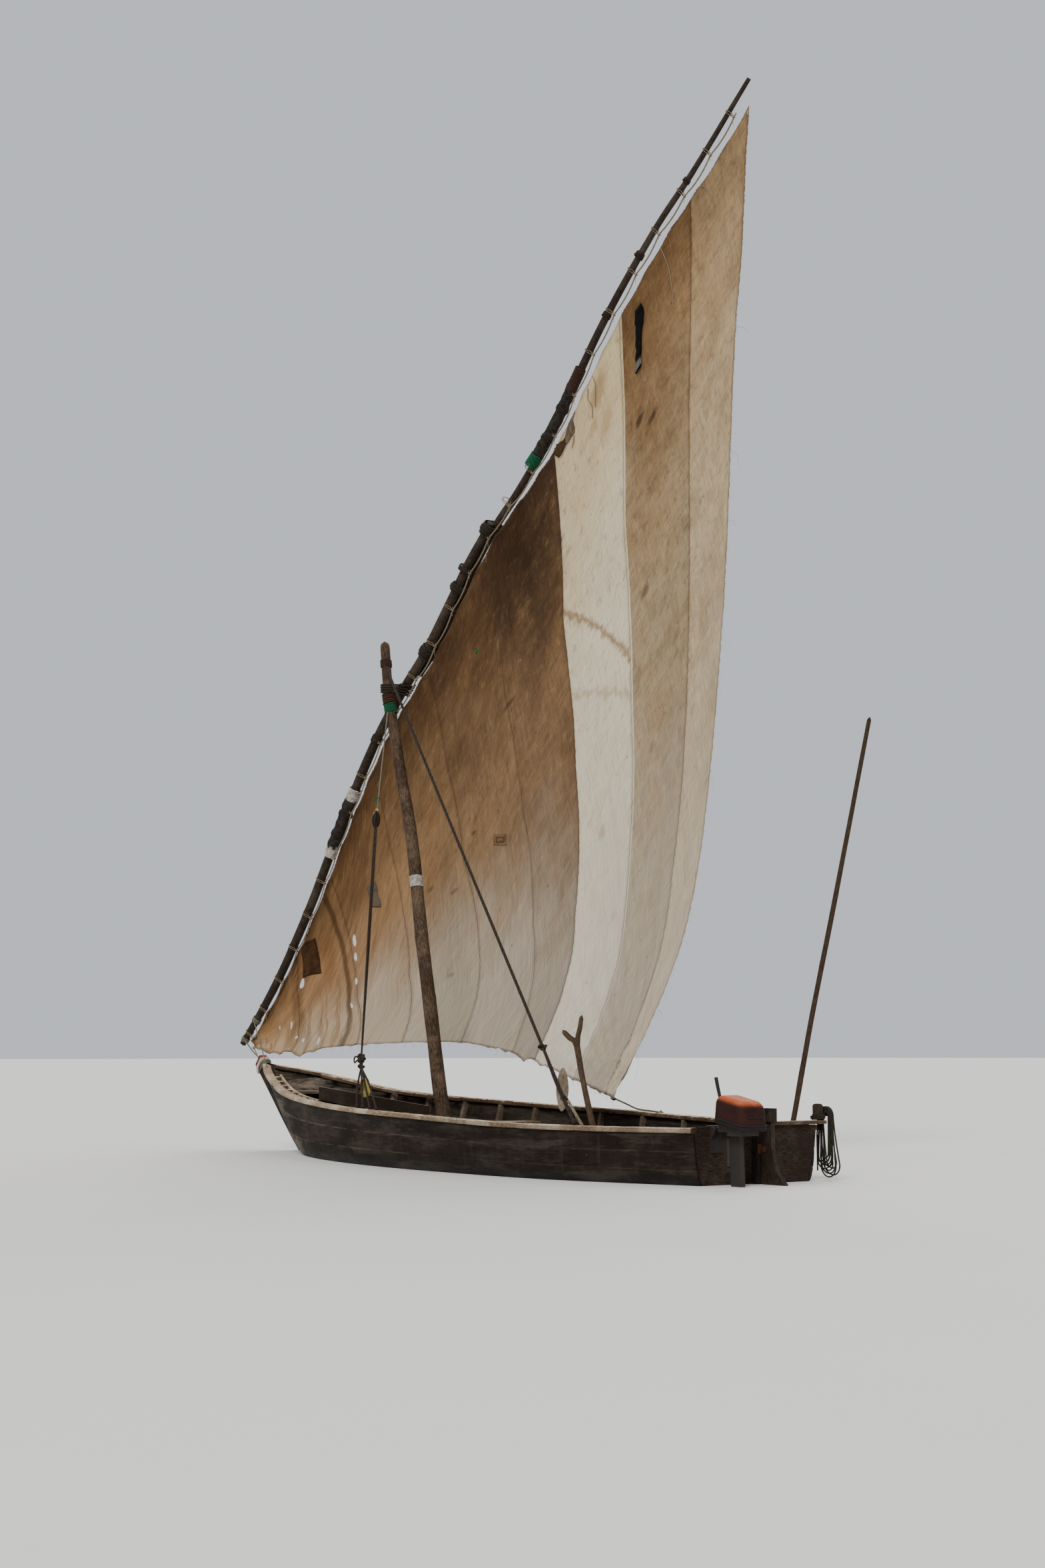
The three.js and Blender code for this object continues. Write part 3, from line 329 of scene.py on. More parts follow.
class Figure:
    # a value in a shader: arithmetic on it makes Math nodes

    def __init__(self, socket):
        self.socket = socket

    __add__, __radd__ = reckon("ADD"), reckon("ADD", True)
    __sub__, __rsub__ = reckon("SUBTRACT"), reckon("SUBTRACT", True)
    __mul__, __rmul__ = reckon("MULTIPLY"), reckon("MULTIPLY", True)
    __truediv__, __abs__ = reckon("DIVIDE"), reckon("ABSOLUTE")


def figuresOf(outputs):
    # a node's outputs, by name and by number
    return {key: Figure(s) for k, s in enumerate(outputs) for key in (k, s.name)}


def link(value, socket):
    pen["tree"].links.new(value.socket, socket)


def setInputs(made, values):
    for key, value in values.items():
        if isinstance(value, Figure):
            link(value, made.inputs[key])
        else:
            made.inputs[key].default_value = value
    return figuresOf(made.outputs)


def addNode(kind, values, **settings):
    # makes a node, sets its options and inputs, and gives back its outputs
    made = pen["tree"].nodes.new("ShaderNode" + kind)
    for key, value in settings.items():
        setattr(made, key, value)
    return setInputs(made, values)


def newGroup(name, takes, gives):
    pen["tree"] = tree = bpy.data.node_groups.new(name, "ShaderNodeTree")
    kinds = {0: "Float", 3: "Vector", 4: "Color"}
    for label, value in takes.items():
        size = 3 if value is None else len(value) if isinstance(value, tuple) else 0
        socket = tree.interface.new_socket(label, in_out="INPUT", socket_type="NodeSocket" + kinds[size])
        if value is not None:
            socket.default_value = value
    for label in gives:
        kind = "NodeSocketColor" if label == "Color" else "NodeSocketFloat"
        tree.interface.new_socket(label, in_out="OUTPUT", socket_type=kind)
    return figuresOf(tree.nodes.new("NodeGroupInput").outputs), tree.nodes.new("NodeGroupOutput").inputs


def tint(factor, a, b, mode="MIX"):
    return addNode("Mix", {0: factor, 6: a, 7: b}, data_type="RGBA", blend_type=mode)[2]


def figure(operation, a, b=None, clamp=False):
    values = {0: a} if b is None else {0: a, 1: b}
    return addNode("Math", values, operation=operation, use_clamp=clamp)[0]


def window(value, low, high):
    # 0 below low, 1 above high
    return addNode("MapRange", {0: value, 1: low, 2: high}, interpolation_type="SMOOTHSTEP")[0]


def below(value, low, high):
    # 1 below low, 0 above high
    return 1 - window(value, low, high)


def ranged(value, low, high):
    # a 0 to 1 value spread from low to high
    return addNode("MapRange", {0: value, 3: low, 4: high})[0]


def clouds(vector, scale, detail=4, rough=0.55, twist=0):
    return addNode("TexNoise", {"Vector": vector, "Scale": scale, "Detail": detail, "Roughness": rough,
                                "Distortion": twist})["Fac"]


def stretch(vector, by):
    return addNode("VectorMath", {0: vector, 1: by}, operation="MULTIPLY")[0]


def axis(vector, number):
    return addNode("SeparateXYZ", {0: vector})[number]


def joined(*parts):
    return addNode("CombineXYZ", dict(enumerate(parts)))[0]


def layer(name):
    # a value that the mesh carries
    return addNode("Attribute", {}, attribute_name=name)["Fac"]


def makeGrainGroup():
    # weathered wood: long grain, open cracks, bleached and dark patches
    take, give = newGroup("wood grain",
                          {"Vector": None, "Stretch": (1, 14, 14), "Dark": (0.05, 0.03, 0.02, 1),
                           "Light": (0.2, 0.15, 0.1, 1), "Bleached": (0.5, 0.47, 0.43, 1), "Bleaching": 0.3,
                           "Cracks": 0.5, "Fineness": 6}, ["Color", "Roughness", "Height"])
    along = stretch(take["Vector"], take["Stretch"])
    fine = clouds(along, take["Fineness"] * 3, 6, 0.65, 0.6)
    broad = clouds(along, take["Fineness"] * 0.6, 3, 0.5, 1)
    patch = clouds(take["Vector"], 2.3, 4, 0.6)
    crack = clouds(along, take["Fineness"] * 1.7, 2, 0.45, 0.4)
    split = window(abs(crack - 0.5), 0, 0.022)
    opened = figure("MULTIPLY", 1 - split, take["Cracks"], True)
    colour = tint(window(fine, 0.32, 0.7), take["Dark"], take["Light"])
    colour = tint(window(broad, 0.45, 0.75) * 0.45, colour, take["Dark"])
    pale = figure("MULTIPLY", window(patch + (fine - 0.5) * 0.5, 0.42, 0.66), take["Bleaching"], True)
    colour = tint(pale, colour, take["Bleached"])
    colour = tint(opened * 0.8, colour, (0.012, 0.01, 0.008, 1))
    link(colour, give["Color"])
    link(ranged(fine, 0.72, 0.95), give["Roughness"])
    link(fine * 0.5 - opened, give["Height"])
    return pen["tree"]


def makeStainGroup():
    # blotches and specks laid over a colour
    take, give = newGroup("stains",
                          {"Vector": None, "Base": (0.5, 0.5, 0.5, 1), "Stain": (0.2, 0.1, 0.05, 1),
                           "Size": 3, "Amount": 0.5, "Cover": 0.5}, ["Color", "Mask"])
    big = clouds(take["Vector"], take["Size"], 6, 0.62, 0.4)
    small = clouds(take["Vector"], take["Size"] * 7, 3, 0.6)
    mixed = big * 0.75 + small * 0.25
    edge = 0.78 - take["Cover"] * 0.5
    mask = figure("MULTIPLY", window(mixed - edge, -0.08, 0.12), take["Amount"], True)
    link(tint(mask, take["Base"], take["Stain"]), give["Color"])
    link(mask, give["Mask"])
    return pen["tree"]


def makeYarnGroup():
    # yarns on a laid rope, from its map: turns around and metres along
    take, give = newGroup("rope yarns",
                          {"Map": None, "Dark": (0.1, 0.08, 0.05, 1), "Light": (0.3, 0.25, 0.2, 1),
                           "Lay": 12}, ["Color", "Height"])
    parts = addNode("SeparateXYZ", {0: take["Map"]})
    slant = parts[0] * 3 - parts[1] * take["Lay"]
    wave = abs(figure("SINE", slant * pi))
    yarn = abs(figure("SINE", (slant + parts[1] * 260) * 4))
    dirt = clouds(stretch(take["Map"], (1, 9, 1)), 3, 4, 0.6)
    colour = tint(window(wave, 0, 0.75) * 0.85, take["Dark"], take["Light"])
    colour = tint(yarn * 0.3, colour, take["Dark"])
    colour = tint(window(dirt, 0.45, 0.75) * 0.55, colour, take["Dark"])
    link(colour, give["Color"])
    link(wave * 0.7 + yarn * 0.3, give["Height"])
    return pen["tree"]


def makeWeaveGroup():
    # plain weave on a flat map in metres, threads per metre as an input
    take, give = newGroup("canvas weave", {"Map": None, "Threads": 700}, ["Height", "Shade"])
    parts = addNode("SeparateXYZ", {0: take["Map"]})
    warp = figure("SINE", parts[0] * (take["Threads"] * pi))
    weft = figure("SINE", parts[1] * (take["Threads"] * pi))
    link(warp * weft, give["Height"])
    slub = clouds(stretch(take["Map"], (60, 2.5, 1)), 1, 3, 0.6)
    cross = clouds(stretch(take["Map"], (2.5, 60, 1)), 1, 3, 0.6)
    link((slub + cross) * 0.5, give["Shade"])
    return pen["tree"]


groups = {"grain": makeGrainGroup(), "stains": makeStainGroup(), "yarns": makeYarnGroup(),
          "weave": makeWeaveGroup()}


def useGroup(name, **values):
    made = pen["tree"].nodes.new("ShaderNodeGroup")
    made.node_tree = groups[name]
    return setInputs(made, values)


def coat(mask, *colour):
    # a colour laid over the ones that the material has; the first one takes no mask
    pen["coats"] = colour[0] if mask is None else tint(mask, pen["coats"], rgb(*colour))


def stained(vector, base, stain, size, amount, cover):
    return useGroup("stains", Vector=vector, Base=base, Stain=rgb(*stain), Size=size, Amount=amount,
                    Cover=cover)


def startMaterial(name, **constants):
    material = bpy.data.materials.new(name)
    material.use_nodes = True
    pen["material"], pen["tree"] = material, material.node_tree
    tree = pen["tree"]
    shader = tree.nodes["Principled BSDF"]
    shader.inputs["Specular IOR Level"].default_value = 0.14   # dry, dusty stuff
    for key, value in constants.items():
        shader.inputs[key.replace("_", " ")].default_value = value
    pen["place"] = place = figuresOf(tree.nodes.new("ShaderNodeTexCoord").outputs)
    return place["Object"], place["UV"]   # its own place and its map


def complete(height, far, **others):
    # links a material's coats, bumps that stand out by far, and what else it has
    bump = addNode("Bump", {"Strength": 1, "Distance": far, "Height": height})[0]
    setInputs(pen["tree"].nodes["Principled BSDF"], {"Base Color": pen["coats"], "Normal": bump, **others})
    return pen["material"]


def rgb(red, green, blue):
    # a colour as a painter's 0 to 255 values, made linear
    return tuple(((v / 255 + 0.055) / 1.055) ** 2.4 if v > 10 else v / 255 / 12.92
                 for v in (red, green, blue)) + (1,)


woods = {   # dark, light and bleached colour, bleaching, cracks, fineness
    "tarred": ((18, 14, 11), (50, 38, 30), (96, 82, 70), 0.22, 0.5, 5),
    "bleached": ((86, 74, 60), (150, 134, 114), (190, 176, 156), 0.6, 0.9, 7),
    # worn: base of rails and thwarts; its dark colours on the rails' inboard sides are partly painted shade
    "worn": ((42, 32, 24), (96, 74, 54), (150, 126, 100), 0.4, 0.9, 7),
    # rubbed: pale wood laid on upward and outboard faces, partly bleach and partly painted light
    "rubbed": ((136, 110, 84), (214, 192, 164), (238, 224, 202), 0.7, 0.9, 7),
    "inside": ((46, 38, 31), (104, 88, 72), (146, 134, 120), 0.5, 0.6, 6),
    "spar": ((24, 19, 15), (62, 50, 40), (104, 90, 76), 0.3, 0.8, 6),
    "trunk": ((38, 29, 22), (86, 68, 53), (124, 104, 84), 0.4, 1, 5),
}


def grainOf(kind, source, pull, bleaching=None, light=None):
    look = woods[kind]
    return useGroup("grain", Vector=source, Stretch=pull, Dark=rgb(*look[0]),
                    Light=rgb(*(light or look[1])), Bleached=rgb(*look[2]),
                    Bleaching=look[3] if bleaching is None else bleaching, Cracks=look[4], Fineness=look[5])


def woodMaterial(name, kind, byMap=False, along=(1, 14, 14), depth=0.004, worn=0, outside=0, **over):
    spot, flat = startMaterial(name)
    if byMap:
        source = stretch(flat, (0.35, 1, 1))
        pull = (14, 1, 1)
    else:
        source = addNode("Mapping", {"Vector": spot, "Rotation": (0, 0, 0)})[0]
        pull = along
    out = grainOf(kind, source, pull, **over)
    coat(None, out["Color"])
    if worn:   # upper and outboard faces pale, more so towards the bow: partly bleached, rubbed wood and partly painted light; inboard sides stay dark as painted shade
        faces = addNode("SeparateXYZ", {0: pen["place"]["Normal"]})
        side = figure("SIGN", axis(spot, 1))
        ahead = window(axis(spot, 0), -2.5, 2)
        rubbed = outside * (0.4 + ahead * 0.6)
        outboardPaleAndLit = window(faces[1] * side, 0.3, 0.8) * rubbed
        pale = figure("MAXIMUM", window(faces[2], 0.12, 0.88), outboardPaleAndLit)
        coat(None, tint(pale * worn, pen["coats"], grainOf("rubbed", source, pull)["Color"]))
    return complete(out["Height"], depth, Roughness=out["Roughness"])


def ropeMaterial(name, dark, light):
    spot, flat = startMaterial(name, Roughness=0.95, Sheen_Weight=0.04, Sheen_Roughness=0.5)
    out = useGroup("yarns", Map=flat, Dark=dark, Light=light, Lay=12)
    coat(None, out["Color"])
    return complete(out["Height"], 0.002)


def lashingMaterial(name, dark, light):
    # turns of rope on a piece with no map: rings read off the object's own place
    spot, flat = startMaterial(name, Roughness=0.95)
    dirt = clouds(spot, 22, 5, 0.65)
    fibre = clouds(stretch(spot, (1, 1, 6)), 90, 3, 0.7)
    coat(None, tint(window(dirt, 0.3, 0.7), dark, light))
    coat(None, tint(fibre * 0.5, pen["coats"], dark))
    return complete(fibre, 0.003)


def rustMaterial():
    spot, flat = startMaterial("rusted iron")
    out = stained(spot, rgb(62, 56, 52), (98, 58, 34), 14, 0.9, 0.75)
    pits = clouds(spot, 120, 4, 0.7)
    coat(None, out["Color"])
    return complete(pits, 0.0015, Roughness=ranged(out["Mask"], 0.45, 0.9),
                    Metallic=figure("SUBTRACT", 0.8, out["Mask"], True))


def paintMaterial(name, paint, worn, rough=0.42, wear=0.3):
    spot, flat = startMaterial(name, Specular_IOR_Level=0.3)
    out = useGroup("stains", Vector=spot, Base=paint, Stain=worn, Size=9, Amount=0.8, Cover=wear)
    fine = clouds(spot, 160, 3, 0.6)
    dusty = clouds(spot, 18, 5, 0.6)
    coat(None, tint(window(dusty, 0.45, 0.8) * 0.35, out["Color"], worn))
    return complete(fine, 0.0006, Roughness=ranged(dusty, rough, min(rough + 0.4, 0.95)))


materials = {
    "inside": woodMaterial("inside wood", "inside"),
    "insideAcross": woodMaterial("cross timbers", "inside", along=(14, 1, 14)),
    "keel": woodMaterial("backbone timber", "tarred"),
    "stem": woodMaterial("stem timber", "tarred", along=(14, 14, 1.4), bleaching=0.45),
    # rails: pale tops and outboard faces with dark inboard sides, partly weathering and partly painted
    # light and shade
    "rails": woodMaterial("bleached rails with painted light and shade", "worn", depth=0.007, worn=1, outside=0.8),
    "railPlank": woodMaterial("plank on edge", "tarred", worn=0.85),
    "transom": woodMaterial("transom boards", "tarred", along=(14, 1, 14), bleaching=0.3,
                            light=(58, 44, 34)),
    "thwarts": woodMaterial("bleached thwarts", "worn", along=(14, 1, 14), worn=0.6),
    "boards": woodMaterial("floor boards", "inside", bleaching=0.7),
    "upright": woodMaterial("upright timber", "tarred", along=(14, 14, 1)),
    "rudder": woodMaterial("rudder board", "tarred", along=(14, 14, 1.2), bleaching=0.35),
    "spar": woodMaterial("yard wood", "spar", byMap=True),
    "trunk": woodMaterial("mast wood", "trunk", byMap=True, depth=0.006),
    "branch": woodMaterial("crutch bark", "spar", byMap=True, bleaching=0.25, light=(104, 82, 60)),
    "pole": woodMaterial("pole wood", "spar", byMap=True, bleaching=0.05, light=(86, 66, 48)),
    "paddle": woodMaterial("paddle wood", "bleached", along=(12, 12, 1), bleaching=0.5),
    "block": woodMaterial("block wood", "tarred", along=(16, 16, 3)),
    "iron": rustMaterial(),
    "motor": paintMaterial("worn motor paint", rgb(44, 37, 32), rgb(24, 20, 18)),
    "grip": paintMaterial("rubber grip", rgb(24, 24, 25), rgb(52, 50, 47), rough=0.6, wear=0.2),
}
cordLooks = [   # laid ropes with a map, then turns and cloth without one: key, name, dark and light colour
    ("redRope", "dark red stay rope", (28, 19, 16), (78, 50, 38)),
    ("greenRope", "green rope", (10, 46, 32), (26, 104, 68)),
    ("hempRope", "tarred hemp cord", (18, 16, 14), (62, 52, 42)),
    ("greyRope", "grey rope", (64, 60, 50), (136, 130, 112)),
    ("hankRope", "dark hank rope", (15, 15, 11), (54, 52, 38)),
    ("paleRope", "pale cord", (84, 72, 56), (146, 130, 104)),
    ("yellowRope", "yellow rope", (146, 124, 50), (222, 202, 112)),
    ("frayed", "frayed threads", (96, 80, 60), (170, 150, 120)),
    ("lashing", "dark lashing", (26, 22, 19), (70, 60, 50)),
    ("cloth", "pale wrap cloth", (140, 134, 126), (212, 206, 198)),
    ("tarredCloth", "tarred canvas", (24, 22, 20), (62, 55, 48)),
    ("redCloth", "red rag", (110, 24, 18), (196, 66, 40)),
]
laidLooks = 8   # the first so many are laid ropes
for k, (key, name, dark, light) in enumerate(cordLooks):
    materials[key] = (ropeMaterial if k < laidLooks else lashingMaterial)(name, rgb(*dark), rgb(*light))
print("materials made")


# CAD nodes that keep their meshes and take a finish

keptNodes = {
    "inside": ("riser_port", "riser_stbd", "stern_deck", "fore_deck", "mast_step", "pole_socket"),
    "insideAcross": ("frames",),
    "transom": ("transom",),
    "keel": ("keel",),
    "stem": ("stempost",),
    "upright": ("sternpost", "bollard"),
    "boards": ("bottom_boards",),
    "thwarts": ("thwart_aft", "thwart_mid", "thwart_mast", "thwart_fore", "stern_beam"),
    "railPlank": ("rail_plank",),
    "rudder": ("rudder",),
    "iron": ("gudgeon_1", "gudgeon_2", "pintle_1", "pintle_2"),
    "motor": ("motor_clamp", "motor_swivel", "motor_leg", "propeller"),
    "grip": ("motor_tiller",),
    "paddle": ("paddle",),
    "lashing": ("yard_lashing_1", "yard_lashing_2", "parrel", "shroud_collar", "stay_collar"),
    "cloth": ("mast_band",),
    "block": ("shroud_block",),
}
for look, names in keptNodes.items():
    for name in names:
        dress(nodes[name], look)

# Yard, sail and mast lines: the same points as the solids, in millimetres

rig = {
    "tackX": 5360, "yaw": 4,
    "lower": [(5360, 1350, 42), (4920, 1770, 50), (4500, 2210, 54), (4120, 2680, 56), (3750, 3170, 57),
              (3310, 3830, 58), (2810, 4550, 58), (2390, 5100, 58), (1910, 5590, 58), (1370, 6080, 57),
              (940, 6560, 54), (550, 7020, 50), (120, 7440, 42)],
    "upper": [(1640, 5835, 40, 98), (1370, 6080, 48, 105.5), (940, 6560, 50, 104.5), (550, 7020, 50, 100.5),
              (120, 7440, 50, 92.5), (-300, 7740, 50, 70), (-710, 8060, 50, 40), (-1060, 8390, 48, 20),
              (-1400, 8800, 46, 10), (-1910, 9390, 42, 4), (-2750, 10200, 36, 4), (-3330, 10650, 32, 4),
              (-4190, 11400, 24, 4)],
    "luff": (0.012, 0.975), "luffDrop": 0.12,
    "leech": [(-4150, -670, 11130), (-3720, -950, 10060), (-3270, -1200, 8750), (-3030, -1350, 7960),
              (-2700, -1500, 6170), (-2420, -1500, 4240), (-2260, -1300, 2630), (-1990, -1100, 1690),
              (-1580, -800, 720)],
    "foot": [(5060, 20, 1290), (4720, -20, 1230), (4110, -120, 1260), (3490, -300, 1300),
             (2540, -650, 1340), (1510, -950, 1330), (440, -1050, 1170), (-490, -1000, 940),
             (-1580, -800, 720)],
    "mast": [(500, -290, 84), (560, 520, 84), (620, 690, 84), (830, 1610, 82), (1060, 2630, 78),
             (1280, 3750, 73), (1560, 4660, 68), (1830, 5600, 63), (1930, 6260, 56)],
}


def metres(*point):
    return Vector(point) / 1000


def yardSide(x):
    return 30 - (rig["tackX"] - x) * tan(radians(rig["yaw"]))


yardLine = SmoothLine([metres(p[0], yardSide(p[0]), p[1]) for p in rig["lower"][:10] + rig["upper"][2:]],
                      600)
leechLine = SmoothLine([metres(*p) for p in rig["leech"]])
footLine = SmoothLine([metres(*p) for p in rig["foot"]])
mastLine = SmoothLine([metres(x, 0, z) for x, z, r in rig["mast"]])


def headSpot(share, drop=None):
    # a place on the sail's head, below the yard's axis
    at = rig["luff"][0] + (rig["luff"][1] - rig["luff"][0]) * share
    place, along = yardLine.at(at), yardLine.heading(at)
    far = rig["luffDrop"] if drop is None else drop
    return place + vec(-along.z, 0, along.x) * far


def skin(bm, grid, uv, mapAt):
    # faces over a grid of vertices; mapAt gives each one's place on the flat cloth
    for i in range(len(grid) - 1):
        for j in range(len(grid[0]) - 1):
            around = ((i, j), (i, j + 1), (i + 1, j + 1), (i + 1, j))
            face = bm.faces.new([grid[p][q] for p, q in around])
            face.smooth = True
            for loop, spot in zip(face.loops, around):
                loop[uv].uv = mapAt(*spot)
    return bm


# Sail: nine cloths sewn side by side, each seam as rows of (share down the cloth, share along the yard)

sailCloth = {
    "seams": [
        [(0, 0.11), (0.25, 0.095), (0.5, 0.095), (0.75, 0.1), (1, 0.115)],
        [(0, 0.2), (0.25, 0.2), (0.5, 0.205), (0.75, 0.225), (1, 0.28)],
        [(0, 0.315), (0.25, 0.305), (0.5, 0.31), (0.75, 0.33), (1, 0.385)],
        [(0, 0.435), (0.25, 0.425), (0.5, 0.43), (0.75, 0.47), (1, 0.525)],
        [(0, 0.56), (0.25, 0.541), (0.5, 0.548), (0.75, 0.585), (1, 0.66)],
        [(0, 0.676), (0.25, 0.654), (0.5, 0.656), (0.75, 0.677), (1, 0.725)],
        [(0, 0.8), (0.25, 0.782), (0.5, 0.785), (0.75, 0.805), (1, 0.85)],
        [(0, 0.915), (0.25, 0.915), (0.5, 0.921), (0.75, 0.931), (1, 0.965)]],
    "columns": [14, 14, 14, 14, 14, 14, 16, 16, 10],   # faces across each cloth
    "rows": 170, "belly": 0.35, "ties": 26, "scallop": 0.035,
    "slack": 0.013, "pucker": 0.004, "folds": 0.02, "pleats": 0.022, "thick": 0.0016,
    # head, middle and low: colours of each cloth near the head, at mid height and near the foot; partly the
    # cloths' own colours, partly painted light: amber where sun shines through the upper cloth, and painted
    # shade in the grey-beige low down
    "head": [(120, 90, 62), (110, 82, 55), (104, 76, 50), (94, 69, 46), (82, 60, 41), (62, 45, 32),
             (204, 186, 150), (130, 101, 68), (162, 136, 102)],
    "middle": [(146, 113, 80), (142, 111, 80), (140, 111, 81), (136, 109, 80), (130, 105, 78),
               (118, 94, 70), (212, 203, 180), (160, 142, 114), (184, 166, 136)],
    "low": [(160, 138, 110), (158, 142, 120), (158, 146, 129), (160, 150, 134), (160, 150, 136),
            (152, 142, 128), (204, 197, 182), (170, 160, 143), (188, 176, 156)],
    "blots": [(1.1, 0.36, 0.5, (80, 58, 40)), (3.2, 0.34, 0.55, (96, 70, 46)),
              (0.7, 0.26, 0.5, (168, 132, 92)), (7, 0.34, 0.42, (66, 48, 34))],
    "tongues": [(0.135, 0.016, 0.09), (0.17, 0.02, 0.045), (0.69, 0.012, 0.06), (0.745, 0.008, 0.04)],
    # marks: share along the yard, share down, half of each size, colour and strength
    "marks": [(0.82, 0.15, 0.01, 0.007, (66, 50, 36), 0.85),
              (0.845, 0.169, 0.011, 0.006, (66, 50, 36), 0.85),
              (0.82, 0.363, 0.01, 0.008, (92, 72, 52), 0.7),
              (0.835, 0.569, 0.008, 0.01, (112, 92, 70), 0.5),
              (0.72, 0.638, 0.01, 0.014, (164, 148, 122), 0.6),
              (0.365, 0.506, 0.01, 0.01, (84, 62, 44), 0.6), (0.41, 0.562, 0.012, 0.008, (92, 70, 50), 0.6),
              (0.45, 0.45, 0.006, 0.006, (70, 50, 36), 0.7), (0.42, 0.8, 0.01, 0.01, (108, 88, 66), 0.5),
              (0.545, 0.281, 0.014, 0.006, (66, 48, 34), 0.6),
              (0.755, 0.031, 0.022, 0.02, (150, 116, 76), 0.6),
              (0.76, 0.08, 0.016, 0.018, (158, 126, 86), 0.55),
              (0.74, 0.062, 0.01, 0.012, (150, 118, 78), 0.5), (0.59, 0.07, 0.06, 0.11, (48, 34, 23), 0.75),
              (0.63, 0.16, 0.04, 0.11, (54, 39, 27), 0.6), (0.09, 0.48, 0.014, 0.42, (84, 56, 32), 0.55),
              (0.16, 0.35, 0.016, 0.25, (112, 74, 40), 0.4), (0.48, 0.06, 0.12, 0.06, (74, 53, 36), 0.45)],
    "tears": [(0.211, 0.413, 0.0035, 0.035), (0.211, 0.5, 0.003, 0.026), (0.215, 0.638, 0.003, 0.022),
              (0.214, 0.763, 0.0025, 0.016), (0.105, 0.263, 0.005, 0.04), (0.076, 0.6, 0.0022, 0.06),
              (0.1, 0.825, 0.003, 0.018), (0.052, 0.5, 0.0018, 0.05), (0.128, 0.9, 0.003, 0.02),
              (0.17, 0.93, 0.003, 0.03)],
}


def clothShare(cloth, part, down):
    # the share along the yard at part of the way across a cloth
    lines = [0] + [between(rows, down) for rows in sailCloth["seams"]] + [1]
    return lines[cloth] + (lines[cloth + 1] - lines[cloth]) * part


def clothPlace(share, down):
    # the cloth number, with how far across it, of a share along the yard
    lines = [0] + [between(rows, down) for rows in sailCloth["seams"]] + [1]
    k = min(max(bisect.bisect_right(lines, share) - 1, 0), 8)
    return k + (share - lines[k]) / (lines[k + 1] - lines[k]), 1 / (lines[k + 1] - lines[k])


corners = {"tack": headSpot(0), "peak": headSpot(1), "low": footLine.at(0), "clew": footLine.at(1)}


def sailSpot(share, down):
    head = headSpot(share) * (1 - down) + footLine.at(share) * down
    edge = corners["tack"].lerp(corners["low"], down) * (1 - share) + leechLine.at(down) * share
    both = (corners["tack"] * ((1 - share) * (1 - down)) + corners["peak"] * (share * (1 - down))
            + corners["low"] * ((1 - share) * down) + corners["clew"] * (share * down))
    spot = head + edge - both
    spot.y -= sailCloth["belly"] * 16 * share * (1 - share) * down * (1 - down)
    return spot


